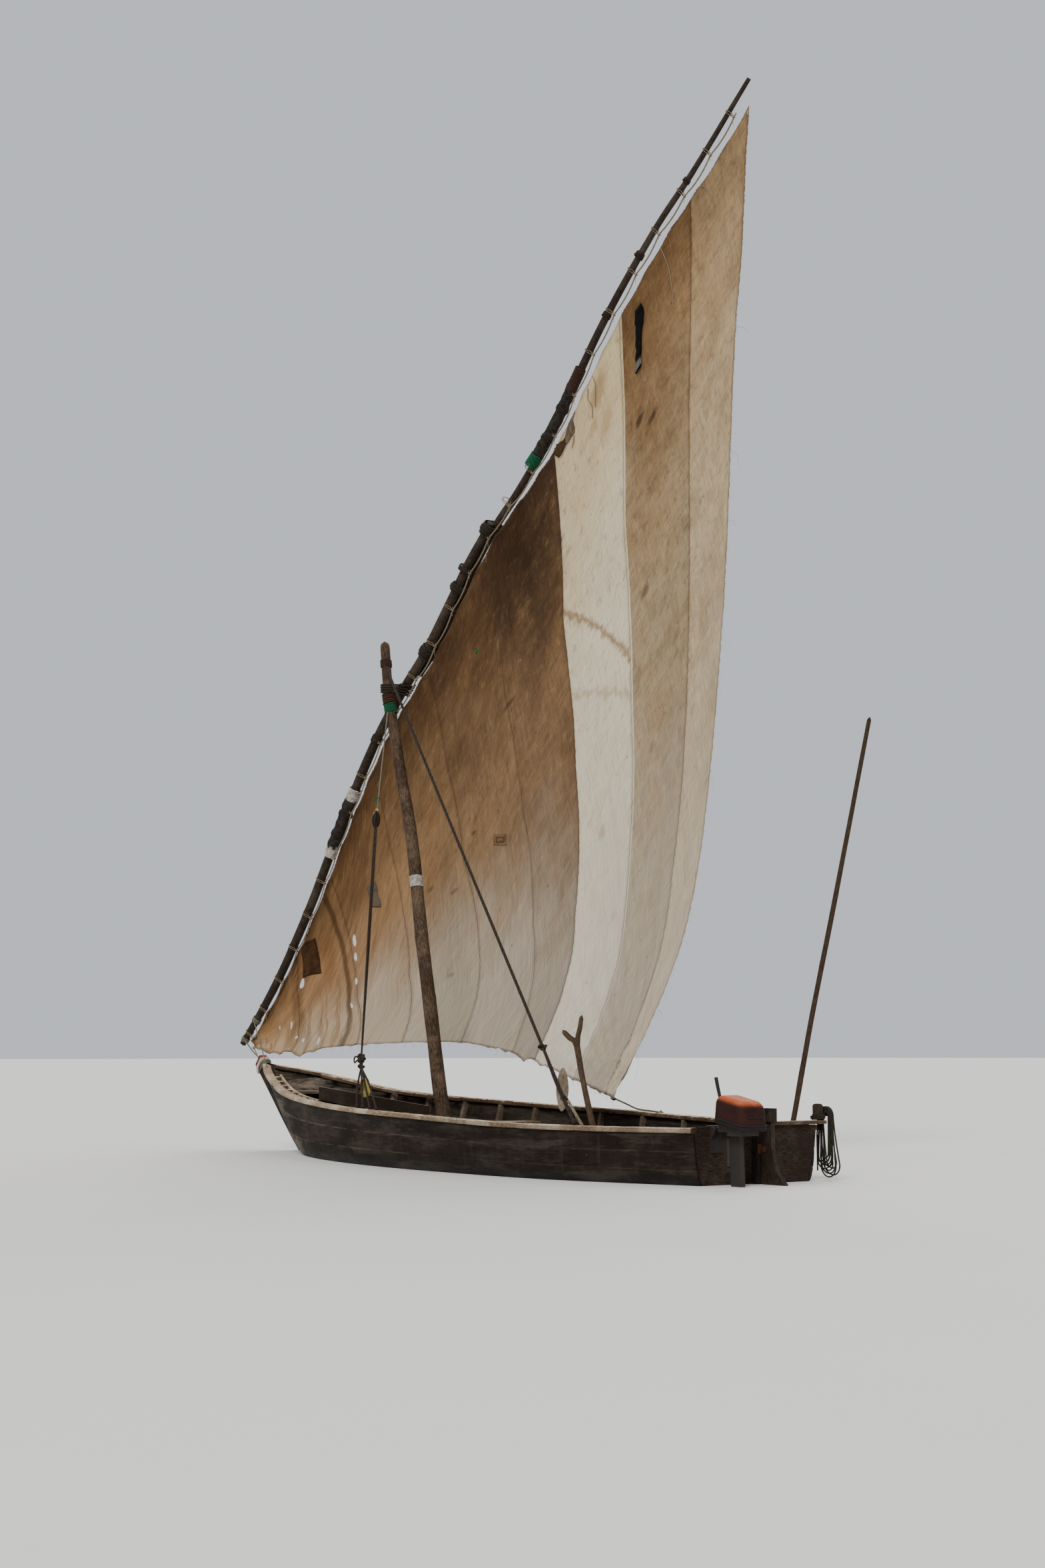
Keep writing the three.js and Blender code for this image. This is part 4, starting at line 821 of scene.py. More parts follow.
def makeSail():
    rows, ties = sailCloth["rows"], sailCloth["ties"]
    columns = [(cloth, i / n) for cloth, n in enumerate(sailCloth["columns"]) for i in range(n)] + [(8, 1)]
    grid = [[sailSpot(clothShare(cloth, part, j / rows), j / rows) for j in range(rows + 1)]
            for cloth, part in columns]
    wide, high = len(columns), rows + 1
    across, down = [[0] * high for _ in range(wide)], [[0] * high for _ in range(wide)]
    for i in range(wide):
        for j in range(high):
            if i:
                across[i][j] = across[i - 1][j] + (grid[i][j] - grid[i - 1][j]).length
            if j:
                down[i][j] = down[i][j - 1] + (grid[i][j] - grid[i][j - 1]).length
    starts = [sum(sailCloth["columns"][:k]) for k in range(10)]
    bm = bmesh.new()
    uv = bm.loops.layers.uv.new("clothMap")
    clothAt, downAt, seamAt, edgeAt = vertexValues(bm, "clothAt", "downAt", "seamAt", "edgeAt")
    made = []
    for i, (cloth, part) in enumerate(columns):
        line = []
        for j in range(high):
            a = grid[min(i + 1, wide - 1)][j] - grid[max(i - 1, 0)][j]
            b = grid[i][min(j + 1, high - 1)] - grid[i][max(j - 1, 0)]
            out = a.cross(b)
            out = out.normalized() if out.length > 1e-9 else vec(0, -1, 0)
            if out.y > 0:
                out = -out
            share, sunk = clothShare(cloth, part, j / rows), j / rows
            first, last = starts[cloth], min(starts[cloth + 1], wide - 1)
            toSeam = min(across[i][j] - across[first][j], across[last][j] - across[i][j])
            lengthHere, widthHere = down[i][-1], across[-1][j]
            fromHead, fromFoot = down[i][j], lengthHere - down[i][j]
            ripple = sin(pi * part) * sailCloth["slack"] * ease(0, 0.4, lengthHere)
            ripple += sailCloth["pucker"] * sin(down[i][j] * 52 + cloth) * exp(-toSeam / 0.05)
            ripple += (sailCloth["folds"] * cos(2 * pi * ties * share) * exp(-fromHead / 0.35)
                       * ease(0, 0.05, fromHead))
            ripple += 0.03 * noiseAt(across[i][j] * 0.9, down[i][j] * 0.35, 3) * ease(0, 0.5, fromHead)
            ripple += 0.008 * noiseAt(across[i][j] * 5, down[i][j] * 1.6, 8)
            clew = grid[i][j] - corners["clew"]
            near = exp(-clew.length / 0.9)
            ripple += (sailCloth["pleats"] * near * sin(atan2(clew.z, clew.x) * 34)
                       * ease(0.02, 0.2, clew.length))
            tackNear = exp(-share / 0.1) * ease(0, 0.12, lengthHere)
            ripple += 0.035 * tackNear * sin(share * 190 + 1.5 * noiseAt(share * 20, sunk * 3, 0))
            ripple *= ease(0, 0.25, lengthHere)
            spot = grid[i][j] + out * ripple
            tieWave = abs(sin(pi * ties * share))
            drop = sailCloth["scallop"] * tieWave * exp(-fromHead / 0.12) * ease(0, 0.3, lengthHere)
            toFoot = (grid[i][-1] - grid[i][0]).normalized() if lengthHere > 0.01 else vec(0, 0, -1)
            spot += toFoot * drop
            if sunk > 0.9 and 0 < i < wide - 1:   # torn cloth hangs below the foot
                spot += toFoot * ease(0.9, 1, sunk) * sum(
                    fall * exp(-((share - at) / broad) ** 2) for at, broad, fall in sailCloth["tongues"])
            if j == high - 1 and 0 < i < wide - 1:   # the ragged foot
                ragged = 0.03 * noiseAt(across[i][j] * 9, 5, 0) - 0.012
                spot += toFoot * ragged
            vert = bm.verts.new(spot)
            vert[clothAt] = cloth + part
            vert[downAt] = sunk
            vert[seamAt] = toSeam if 0 < cloth + part < 9 else 1
            vert[edgeAt] = min(fromHead, fromFoot, across[i][j], widthHere - across[i][j])
            line.append(vert)
        made.append(line)
    return skin(bm, made, uv, lambda p, q: (across[p][q] - across[starts[5]][q], down[p][q]))


def clothMaterial():
    spot, flat = startMaterial("patched sailcloth", Sheen_Weight=0.03, Sheen_Roughness=0.6,
                               Specular_IOR_Level=0.06)
    cloth = layer("clothAt")
    down = layer("downAt")
    seam = layer("seamAt")
    edge = layer("edgeAt")
    along = cloth / 9

    def panels(colours):
        ramp = pen["tree"].nodes.new("ShaderNodeValToRGB")
        band = ramp.color_ramp
        band.interpolation = "CONSTANT"
        for k, painted in enumerate(colours):
            stop = band.elements[0] if k == 0 else band.elements.new(k / 9) if k > 1 else band.elements[1]
            stop.position = k / 9
            stop.color = rgb(*painted)
        return setInputs(ramp, {0: along})[0]

    # blend of head, middle and low colours down the sail: painted glow of sun through the cloth above and
    # painted shade low down, over the cloths' own colours
    wander = (clouds(flat, 0.8, 4, 0.6) - 0.5) * 0.5
    level = down + wander
    coat(None, tint(window(level, 0.02, 0.38), panels(sailCloth["head"]), panels(sailCloth["middle"])))
    coat(None, tint(window(level, 0.42, 0.88), pen["coats"], panels(sailCloth["low"])))
    pale = addNode("SeparateColor", {0: panels(sailCloth["middle"])})[2]
    dark = below(pale, 0.15, 0.4)
    for size, amount, cover, stain in sailCloth["blots"]:
        coat(None, stained(addNode("Mapping", {"Vector": flat, "Location": (size, 2, size)})[0],
                           pen["coats"], stain, size, dark * amount * window(0.9 - level, 0, 0.6),
                           cover)["Color"])
    coat(None, stained(flat, pen["coats"], (150, 118, 80), 2.6, 0.34, 0.36)["Color"])
    mottle = clouds(flat, 7.5, 6, 0.74)
    worn = (1.15 - window(level, 0.2, 0.9)) * 0.34
    coat(window(mottle, 0.52, 0.68) * worn, 72, 52, 36)
    coat(window(1 - mottle, 0.54, 0.7) * 0.22, 190, 162, 122)
    specks = addNode("TexVoronoi", {"Vector": flat, "Scale": 3.4}, feature="F1")["Distance"]
    coat(below(specks, 0.02, 0.06) * 0.7, 70, 52, 38)
    stripe = clouds(stretch(flat, (5.5, 0.16, 1)), 1.5, 3, 0.6)   # long streaks down the cloths
    coat(window(stripe, 0.5, 0.75) * 0.07, 88, 66, 46)
    shreds = clouds(joined(cloth * 6, down), 2, 4, 0.6)
    low = below(cloth, 1.6, 2.3) * window(down, 0.35, 0.7)
    coat(window(shreds, 0.46, 0.6) * low * 0.6, 112, 84, 58)
    ragged = clouds(flat, 6, 5, 0.7) - 0.5
    fine = clouds(flat, 30, 3, 0.6) - 0.5
    sheetPlace = joined(cloth, down)

    def farFrom(share, low, wide, tall):
        # 0 at the middle of a mark and 1 at its edge
        number, rate = clothPlace(share, low)
        scale = (1 / (wide * rate), 1 / tall, 0)
        moved = addNode("VectorMath",
                        {0: sheetPlace, 1: scale, 2: (-number * scale[0], -low * scale[1], 0)},
                        operation="MULTIPLY_ADD")
        return addNode("VectorMath", {0: moved[0]}, operation="LENGTH")["Value"]

    def edgeLine(start, slope, half, ragging=0.06):
        # a stain line across the pale cloth: its place down the cloth at the left seam, and its slope
        at = start + (cloth - 6) * slope
        off = abs(down - at + ragged * ragging)
        inside = figure("GREATER_THAN", cloth, 6) * figure("LESS_THAN", cloth, 7)
        return below(off, 0, half) * inside

    for share, low, wide, tall, stain, amount in sailCloth["marks"]:
        soft = farFrom(share, low, wide, tall) + ragged * 1.8
        coat(below(soft, 0.3, 1.2) * amount, *stain)
    coat(edgeLine(0.235, 0.19, 0.014) * 0.75, 132, 98, 60)
    coat(edgeLine(0.372, 0.105, 0.01) * 0.4, 150, 118, 80)
    curve = 1.78 + down * 0.35 * (1 - down)
    beside = abs(cloth - curve) + ragged * 0.06
    coat(below(beside, 0.015, 0.065) * 0.7, 62, 42, 26)
    creased = clouds(stretch(flat, (1.4, 2.2, 1)), 2.4, 6, 0.7, 1.5)
    coat(window(creased, 0.58, 0.72) * 0.06, 222, 200, 168)
    shade = below(down + ragged * 0.08, 0, 0.1) * 0.45
    coat(shade * dark, 54, 38, 26)
    weave = useGroup("weave", Map=flat, Threads=520)
    coat(None, tint(0.28, pen["coats"],
                    tint(window(weave["Shade"], 0.3, 0.7), rgb(60, 48, 36), rgb(255, 250, 240)), "OVERLAY"))
    stitch = below(seam, 0.0035, 0.008)
    band = below(seam, 0.028, 0.034)
    coat(band * 0.16, 70, 52, 36)
    coat(stitch * 0.6, 58, 44, 32)
    hem = below(edge, 0.02, 0.05)
    coat(hem * 0.4, 74, 56, 40)
    gone = 0
    for share, low, wide, tall in sailCloth["tears"]:
        hole = farFrom(share, low, wide, tall) + fine * 1.6
        gone = figure("MAXIMUM", gone, below(hole, 0.85, 1))
    fray = below(edge, 0.004, 0.02) * window(clouds(flat, 42, 2, 0.5), 0.56, 0.6)
    gone = figure("MAXIMUM", gone, fray)
    lift = weave["Height"] * 0.12 + (band * 0.8 + clouds(flat, 14, 5, 0.6) * 0.7)
    return complete(lift, 0.003, Roughness=ranged(weave["Shade"], 0.82, 0.98),
                    Alpha=figure("SUBTRACT", 1, gone, True))


materials["cloth9"] = clothMaterial()
sail = newPiece("sailCloth", makeSail(), "yard", "cloth9", ("sail",))
thicken(sail, "canvas", sailCloth["thick"], 0)
sailTree = BVHTree.FromPolygons([v.co.copy() for v in sail.data.vertices],
                                [tuple(p.vertices) for p in sail.data.polygons])
print("sail made", len(sail.data.polygons))


def onSail(share, down, lift=0):
    # a place that stands lift off the sail's port face
    spot = sailSpot(share, down)
    hit, normal, _, _ = sailTree.ray_cast(spot + vec(0, 0.5, 0), vec(0, -1, 0), 1.2)
    if hit is None:
        hit, normal = spot, vec(0, 1, 0)
    if normal.y < 0:
        normal = -normal
    return hit + normal * lift


# What is sewn or hung on the sail: corners as (share, down), clockwise from the head

patches = [
    {"name": "squarePatch", "corners": [(0.485, 0.494), (0.51, 0.519), (0.51, 0.544), (0.485, 0.519)],
     "cuts": (12, 12), "lift": 0.004, "colour": (132, 106, 78), "dark": (64, 47, 34), "seam": 0.038},
    {"name": "greyPatch", "corners": [(0.249, 0.262), (0.266, 0.285), (0.267, 0.4), (0.25, 0.356)],
     "cuts": (12, 18), "lift": 0.003, "colour": (112, 101, 88), "dark": (70, 62, 54), "seam": 0.01},
    {"name": "brownPatch", "corners": [(0.118, 0.02), (0.143, 0.08), (0.141, 0.37), (0.107, 0.22)],
     "cuts": (14, 24), "lift": 0.003, "colour": (84, 60, 41), "dark": (44, 31, 22), "seam": 0.02},
    {"name": "headPatch", "corners": [(0.694, 0.002), (0.716, 0.002), (0.708, 0.024), (0.684, 0.014)],
     "cuts": (14, 14), "lift": 0.006, "colour": (118, 104, 88), "dark": (70, 60, 50), "seam": 0.01},
    {"name": "ragTip", "corners": [(0.676, 0.004), (0.69, 0.004), (0.693, 0.016), (0.681, 0.022)],
     "cuts": (8, 10), "lift": 0.014, "colour": (84, 66, 47), "dark": (44, 34, 26), "seam": 0.004},
    {"name": "greenMend", "corners": [(0.503, 0.1), (0.507, 0.1), (0.507, 0.108), (0.503, 0.108)],
     "cuts": (6, 6), "lift": 0.004, "colour": (30, 120, 70), "dark": (18, 70, 44), "seam": 0.003},
]


def patchMaterial(name, colour, dark, seam, stripes=False):
    spot, flat = startMaterial(name, Specular_IOR_Level=0.08)
    edge = layer("edgeAt")
    down = layer("downAt")
    weave = useGroup("weave", Map=flat, Threads=600)
    coat(None, stained(flat, rgb(*colour), dark, 9, 0.7, 0.5)["Color"])
    coat(None, tint(0.3, pen["coats"],
                    tint(window(weave["Shade"], 0.3, 0.7), rgb(50, 42, 34), rgb(240, 236, 228)), "OVERLAY"))
    sewn = below(abs(edge - seam), 0.1 * seam, 0.3 * seam)
    coat(sewn * 0.7, *dark)
    if stripes:   # knitted bands near the lower end
        bands = figure("SINE", down * 150)
        low = window(down, 0.8, 0.82) - window(down, 0.93, 0.95)
        coat(window(bands, 0.3, 0.5) * low * 0.85, 196, 190, 180)
    return complete(weave["Height"] + sewn * -2, 0.0012, Roughness=ranged(weave["Shade"], 0.84, 0.98))


def makePatch(patch, liftAt=None, spotAt=None):
    # a piece of cloth that lies on the sail; liftAt(a, b) says how far it stands off
    bm = bmesh.new()
    uv = bm.loops.layers.uv.new("clothMap")
    edgeAt, downAt = vertexValues(bm, "edgeAt", "downAt")
    across, along = patch["cuts"]
    c = [Vector(p) for p in patch.get("corners", ())]
    grid = []
    for i in range(across + 1):
        grid.append([])
        for j in range(along + 1):
            a, b = i / across, j / along
            if spotAt:
                share, down = spotAt(a, b)
            else:
                share, down = (c[0] * (1 - a) + c[1] * a) * (1 - b) + (c[3] * (1 - a) + c[2] * a) * b
                wobble = noiseAt(a * 3, b * 3, len(patch["name"])) * 0.0016
                share += wobble * (abs(a - 0.5) > 0.4)
            lift = patch["lift"] * (0.6 + 0.4 * sin(pi * a)) if liftAt is None else liftAt(a, b)
            grid[i].append(bm.verts.new(onSail(share, down, lift)))
    wide = (grid[-1][0].co - grid[0][0].co).length
    high = (grid[0][-1].co - grid[0][0].co).length
    for i in range(across + 1):
        for j in range(along + 1):
            a, b = i / across, j / along
            grid[i][j][edgeAt] = min(min(a, 1 - a) * wide, min(b, 1 - b) * high)
            grid[i][j][downAt] = b
    return skin(bm, grid, uv, lambda p, q: (p / across * wide, q / along * high))


def sewOn(patch, **shape):
    made = newPiece(patch["name"], makePatch(patch, **shape), "yard", patch["name"])
    thicken(made, "cloth", 0.0012, 1)
    return made


for patch in patches:
    materials[patch["name"]] = patchMaterial(patch["name"] + "Cloth", patch["colour"], patch["dark"],
                                             patch["seam"])
    sewOn(patch)

# a black knitted sleeve that hangs on the sail below the yard
sleeve = {"name": "blackSleeve", "cuts": (12, 54), "lift": 0.01, "from": 0.024, "to": 0.092,
          "share": 0.8255,
          "half": [(0, 0.0045), (0.1, 0.0062), (0.3, 0.0068), (0.55, 0.0052), (0.8, 0.005), (0.95, 0.0058),
                   (1, 0.0035)],
          "side": [(0, 0.0045), (0.25, 0.0048), (0.45, 0.0015), (0.7, -0.001), (1, -0.003)]}


def sleeveSpot(a, b):
    down = sleeve["from"] + (sleeve["to"] - sleeve["from"]) * b
    half = between(sleeve["half"], b) * (1 + 0.25 * noiseAt(b * 9, a * 2, 4))
    return sleeve["share"] + between(sleeve["side"], b) + (a - 0.5) * 2 * half, down


def sleeveLift(a, b):
    crumple = noiseAt(a * 2.6, b * 11, 2) * 0.016
    return 0.006 + 0.03 * sqrt(max(0, 1 - (2 * a - 1) ** 2)) + max(crumple, -0.004) * sin(pi * a)


materials[sleeve["name"]] = patchMaterial("blackKnit", (26, 25, 26), (12, 12, 13), 0.5, True)
sewOn(sleeve, liftAt=sleeveLift, spotAt=sleeveSpot)

# Loose ends: cords that hang on the face of the sail, and frayed threads along its free edges

cordEnds = [
    {"way": [(0.87, 0.004), (0.879, 0.035), (0.884, 0.062), (0.887, 0.084)], "radius": 0.006},
    {"way": [(0.93, 0.004), (0.936, 0.01), (0.944, 0.028), (0.951, 0.046)], "radius": 0.006},
    {"way": [(0.737, 0.004), (0.734, 0.016), (0.739, 0.03), (0.736, 0.044)], "radius": 0.005},
    {"way": [(0.748, 0.003), (0.752, 0.018), (0.748, 0.032), (0.744, 0.04)], "radius": 0.005},
    {"way": [(0.712, 0.004), (0.704, 0.012), (0.706, 0.026), (0.7, 0.034)], "radius": 0.005},
    {"way": [(0.56, 0.002), (0.562, 0.012), (0.559, 0.022)], "radius": 0.004},
]
fraying = {"threads": 420, "long": (0.02, 0.09), "radius": 0.0011, "strands": 7, "strandLong": (0.1, 0.34)}


def makeLooseEnds():
    bm = bmesh.new()
    for cord in cordEnds:
        points = [onSail(share, down, cord["radius"] * 1.3) for share, down in cord["way"]]
        addRope(bm, points, cord["radius"], sides=6, spacing=0.014, steps=60, ends=0.03)
    for k in range(fraying["threads"] + fraying["strands"]):
        strand = k >= fraying["threads"]
        pick = ((k * 0.6180339) % 1 if not strand
                else (0.21, 0.33, 0.4, 0.52, 0.66, 0.9, 0.95)[k - fraying["threads"]])
        if k % 3 or strand:   # along the leech, and every third along the foot
            start, out = leechLine.at(pick), vec(-1, 0, 0)
        else:
            start, out = footLine.at(pick), vec(0, 0, -1)
        grow = Vector([noiseAt(k * 1.37, 0.5, 2 + 7 * n) for n in range(3)])
        low, high = fraying["strandLong" if strand else "long"]
        far = low + (high - low) * abs(grow.x) * 1.5
        turn = (out + grow * 0.7 + vec(0, 0, -0.5)).normalized()
        middle = start + turn * far * 0.5
        tip = start + turn * far * 0.8 + vec(0, 0, -0.35 * far) + grow * far * 0.25
        radius = fraying["radius"] * (1.8 if strand else 1)
        line = SmoothLine([start - turn * 0.004, middle, tip], 12)
        sweep(bm, line, lambda share, angle: radius * (1 - 0.6 * share), 3, 0.02)
    return bm


yardCord("looseThreads", makeLooseEnds(), "frayed")
print("patches and threads made")


def sparRadius(share):
    # the yard's radius where the two spars and its sleeves carry it
    at = yardLine.at(share).x * 1000
    rows = sorted([(p[0], p[2]) for p in rig["lower"][:10] + rig["upper"][2:]])
    return between(rows, at) / 1000


headTies = {"edge": 0.009, "cord": 0.0045, "tail": 0.003, "turns": 2, "lean": 0.014, "stray": 0.01,
            "hang": (0.05, 0.1), "sway": 0.08}


def makeTies():
    # a bolt rope along the head, and a cord round yard and rope at each tie
    bm = bmesh.new()
    ties = sailCloth["ties"]
    edge = [headSpot(i / (ties * 4),
                     rig["luffDrop"] - 0.006 + sailCloth["scallop"] * abs(sin(pi * i / 4)) * 0.9)
            for i in range(ties * 4 + 1)]
    addRope(bm, edge, headTies["edge"], sides=7, spacing=0.03, steps=900)
    for k in range(ties + 1):
        share = min(max(k / ties, 0.004), 0.996)
        at = rig["luff"][0] + (rig["luff"][1] - rig["luff"][0]) * share
        centre, along = yardLine.at(at), yardLine.heading(at)
        across = vec(0, 1, 0)
        down = vec(-along.z, 0, along.x).normalized()
        r = sparRadius(at) + 0.006
        low = rig["luffDrop"] + 0.008
        for turn in range(headTies["turns"]):
            lean = along * (headTies["lean"] * (turn - 0.5) + headTies["stray"] * noiseAt(k, turn, 0))
            loop = []
            for i in range(13):
                angle = pi * (0.12 + 1.76 * i / 12)
                loop.append(centre + down * (r * cos(angle)) + across * (r * sin(angle))
                            + lean * (1 + cos(angle)))
            ends = [centre + down * low + across * 0.012, centre + down * low - across * 0.012]
            addRope(bm, [ends[0]] + loop + [ends[1]], headTies["cord"], sides=5, spacing=0.016, steps=60)
        hang = centre + down * low
        tail = headTies["hang"][0] + headTies["hang"][1] * abs(noiseAt(k * 1.7, 2, 0))
        sway = vec(noiseAt(k, 5, 0), noiseAt(k, 9, 0) * 0.5, 0) * headTies["sway"]
        addRope(bm, [hang, hang + vec(0.01, 0.01, -tail * 0.4) + sway * 0.5,
                     hang + sway + vec(0, 0.012, -tail)], headTies["tail"], sides=5, spacing=0.015,
                     steps=30)
    return bm


yardCord("headTies", makeTies(), "paleRope", ("luff_rope",))
print("ties made")

# Yard: two long poles swept so that the grain follows their bends

spars = {"sides": 20, "spacing": 0.035, "knots": 0.1, "lump": 0.035}


def barFrom(rows, seed=0, knots=0.08, lump=0.03, closeTop=0, bm=None):
    # rows of (x, y, z, r) in millimetres
    line = SmoothLine([metres(x, y, z) for x, y, z, r in rows], 300)
    stops = []
    for k, row in enumerate(rows):
        best = min(range(len(line.spots)), key=lambda i: (line.spots[i] - metres(*row[:3])).length)
        stops.append((line.marks[best] / line.length, row[3] / 1000))

    def radius(share, angle):
        base = between(stops, share)
        far = share * line.length
        dent = noiseAt(cos(angle) * 0.8, sin(angle) * 0.8, far * 2.2 + seed)
        knot = max(0, noiseAt(cos(angle) * 1.6, sin(angle) * 1.6, far * 5 + seed * 2) - 0.35)
        r = base * (1 + lump * dent * 2 + knots * knot * 2)
        if closeTop and share > 1 - closeTop:
            r *= sqrt(max(0, 1 - ((share - 1 + closeTop) / closeTop) ** 2)) * 0.92 + 0.08
        return r
    bm = bm or bmesh.new()
    sweep(bm, line, radius, spars["sides"], spars["spacing"])
    return bm


lowerRows = [(x, yardSide(x), z, r) for x, z, r in rig["lower"]]
upperRows = [(x, yardSide(x) - side, z, r) for x, z, r, side in rig["upper"]]
newPiece("yardLower", barFrom(lowerRows, seed=3), "yard", "spar", ("lower_spar",))
newPiece("yardUpper", barFrom(upperRows, seed=11), "yard", "spar", ("upper_spar",))
newPiece("mastTrunk",
         barFrom([(x, 0, z, r) for x, z, r in rig["mast"]], seed=21, knots=0.1, lump=0.03, closeTop=0.012),
         "hull", "trunk", ("mast",))

# Wraps on the yard: share along it, length, how far they stand out, and their finish

wraps = [
    {"name": "wrapAft", "share": 0.2864, "long": 0.17, "out": 0.03, "look": "cloth"},
    {"name": "wrapFore", "share": 0.2271, "long": 0.16, "out": 0.022, "look": "cloth"},
    {"name": "greenWrap", "share": 0.6493, "long": 0.17, "out": 0.034, "look": "greenRope"},
    {"name": "redWrap", "share": 0.7264, "long": 0.3, "out": 0.018, "look": "redRope"},
]


def turnsRound(bm, line, share, long, radiusAt, rope, wobble=0.4, seed=0, sides=7):
    # a cord wound round a bar for a length of it
    turns = max(3, round(long / (rope * 2.05)))
    centre = share * line.length
    points = []
    for i in range(turns * 12 + 1):
        far = centre - long / 2 + long * i / (turns * 12)
        at = far / line.length
        spot, along = line.at(at), line.heading(at)
        side = along.cross(vec(0, 1, 0)).normalized()
        up = along.cross(side)
        angle = 2 * pi * i / 12
        r = radiusAt(at) + rope * 0.85 + rope * wobble * noiseAt(i * 0.21, seed, 0)
        points.append(spot + side * (r * cos(angle)) + up * (r * sin(angle)))
    addRope(bm, points, rope, sides=sides, spacing=rope * 2.2, steps=len(points) * 3)


for wrap in wraps:
    bm = bmesh.new()
    turnsRound(bm, yardLine, wrap["share"], wrap["long"], lambda at: sparRadius(at) + wrap["out"] * 0.4,
               0.009, seed=wrap["share"] * 40)
    yardCord(wrap["name"], bm, wrap["look"])
print("spars made")

# Mast fittings of rope

rings = [
    {"name": "headCollar", "z": (5.93, 6.02), "rope": 0.008, "look": "redRope", "hides": ("stay_collar",)},
    {"name": "hoistCollar", "z": (5.34, 5.45), "rope": 0.009, "look": "greenRope"},
    {"name": "parrelRest", "z": (5.452, 5.586), "rope": 0.013, "look": "redRope",
     "hides": ("shroud_collar",)},
    {"name": "whiteBand", "z": (3.18, 3.31), "rope": 0.004, "look": "cloth", "hides": ("mast_band",)},
]


def mastShareAt(z):
    low, high = 0, 1
    for _ in range(30):
        middle = (low + high) / 2
        low, high = (middle, high) if mastLine.at(middle).z < z else (low, middle)
    return low


def mastRadius(share):
    return between([(mastShareAt(z / 1000), r / 1000) for x, z, r in rig["mast"]], share)


for ring in rings:
    bm = bmesh.new()
    low, high = (mastShareAt(z) for z in ring["z"])
    turnsRound(bm, mastLine, (low + high) / 2, (high - low) * mastLine.length, mastRadius, ring["rope"],
               seed=ring["z"][0])
    cordPiece(ring["name"], bm, ring["look"], ring.get("hides", ()))
print("mast made")

# Standing rigging: taut ropes with their knots

stays = {
    "shroudTop": (1762, 50, 5390), "block": (1335, 470, 3970), "knot": (345, 1250, 1164),
    "stayTop": (1880, 30, 5975), "railSpots": [231, 80, -90, -242],
    "stayFoot": -3490, "stayRope": 0.018, "sideRope": 0.01, "sideShare": 0.137, "sideOut": 0.02,
    "whippings": {"count": 9, "first": 0.24, "apart": 0.085, "size": 0.017, "cord": 0.006},
    "stayKnots": [   # share up the stay, size, cord, turns, seed
        (0.137, 0.042, 0.014, 3, 2.4), (0.045, 0.034, 0.011, 3, 0.4),
    ],
    "footKnot": (0.03, 0.03, 0.01, 2, 1.9),   # the same, its height in place of the share
    "shroudRope": 0.009, "fallRope": 0.0115, "fallsOut": 0.016, "underKnot": 0.095,
    "railKnot": (0.021, 0.0085),
    "loop": [(0.03, 0.01), (0.085, 0.025), (0.12, -0.005), (0.105, -0.045), (0.075, -0.03), (0.03, -0.005)],
}

hullLines = {
    "start": -4800, "shares": [0, 0.2, 0.4, 0.6, 0.8, 0.92, 1],
    "keel": (2780, [0, 0, 0, 0, 0, 0, 0], [-190, -345, -400, -405, -405, -400, -385]),
    "bilge": (3150, [470, 900, 1040, 960, 600, 270, 15], [-130, -290, -330, -335, -330, -305, -270]),
    "water": (3640, [690, 1215, 1335, 1255, 900, 480, 20], [0, 0, 0, 0, 0, 0, 0]),
    "sheer": (4790, [780, 1335, 1460, 1315, 835, 405, 20], [485, 488, 540, 600, 725, 925, 1040]),
}


def hullCurve(values):
    # the smooth line that the moulds of the solids follow
    xs = hullLines["shares"]
    rate = [(values[i + 1] - values[i]) / (xs[i + 1] - xs[i]) for i in range(6)]
    slope = [0] + [(rate[i - 1] + rate[i]) / 2 for i in range(1, 6)] + [0]
    slope[0] = 1.5 * rate[0] - 0.5 * slope[1]
    slope[6] = 1.5 * rate[5] - 0.5 * slope[5]

    def at(u):
        i = min(max(bisect.bisect_left(xs, u) - 1, 0), 5)
        h = xs[i + 1] - xs[i]
        t = max(0, min(1, (u - xs[i]) / h))
        flat = values[i] * (1 + 2 * t) * (1 - t) ** 2 + values[i + 1] * t * t * (3 - 2 * t)
        return flat + h * (slope[i] * t * (1 - t) ** 2 + slope[i + 1] * t * t * (t - 1))
    return at


hullRows = [(hullLines[k][0], hullCurve(hullLines[k][1]), hullCurve(hullLines[k][2]))
            for k in ("keel", "bilge", "water", "sheer")]


def hullSpot(u, v, side):
    # u from transom to stem, v from 0 at the keel to 3 at the sheer
    points = [vec(hullLines["start"] + (end - hullLines["start"]) * u, y(u), z(u)) / 1000
              for end, y, z in hullRows]
    spot = curveSpot(points, v / 3)
    return vec(spot.x, side * max(spot.y, 0), spot.z)


def railSpot(x, side, inward=0.03, up=0.055):
    # a place on top of a cap rail
    u = (x - hullLines["start"]) / (hullLines["sheer"][0] - hullLines["start"])
    spot = hullSpot(u, 3, side)
    return vec(x / 1000, spot.y - side * inward, spot.z + up)


def addKnot(bm, spot, size, rope, turns=3, seed=1):
    # a lump of crossing turns
    points = []
    for i in range(turns * 14 + 1):
        a = 2 * pi * i / 14
        tilt = 2 * pi * i / (turns * 14) * 1.7 + seed
        flat = vec(cos(a), sin(a) * cos(tilt), sin(a) * sin(tilt))
        points.append(Vector(spot) + flat * size * (0.75 + 0.25 * sin(a * 0.7 + seed)))
    addRope(bm, points, rope, sides=6, spacing=rope * 1.6, steps=len(points) * 2)


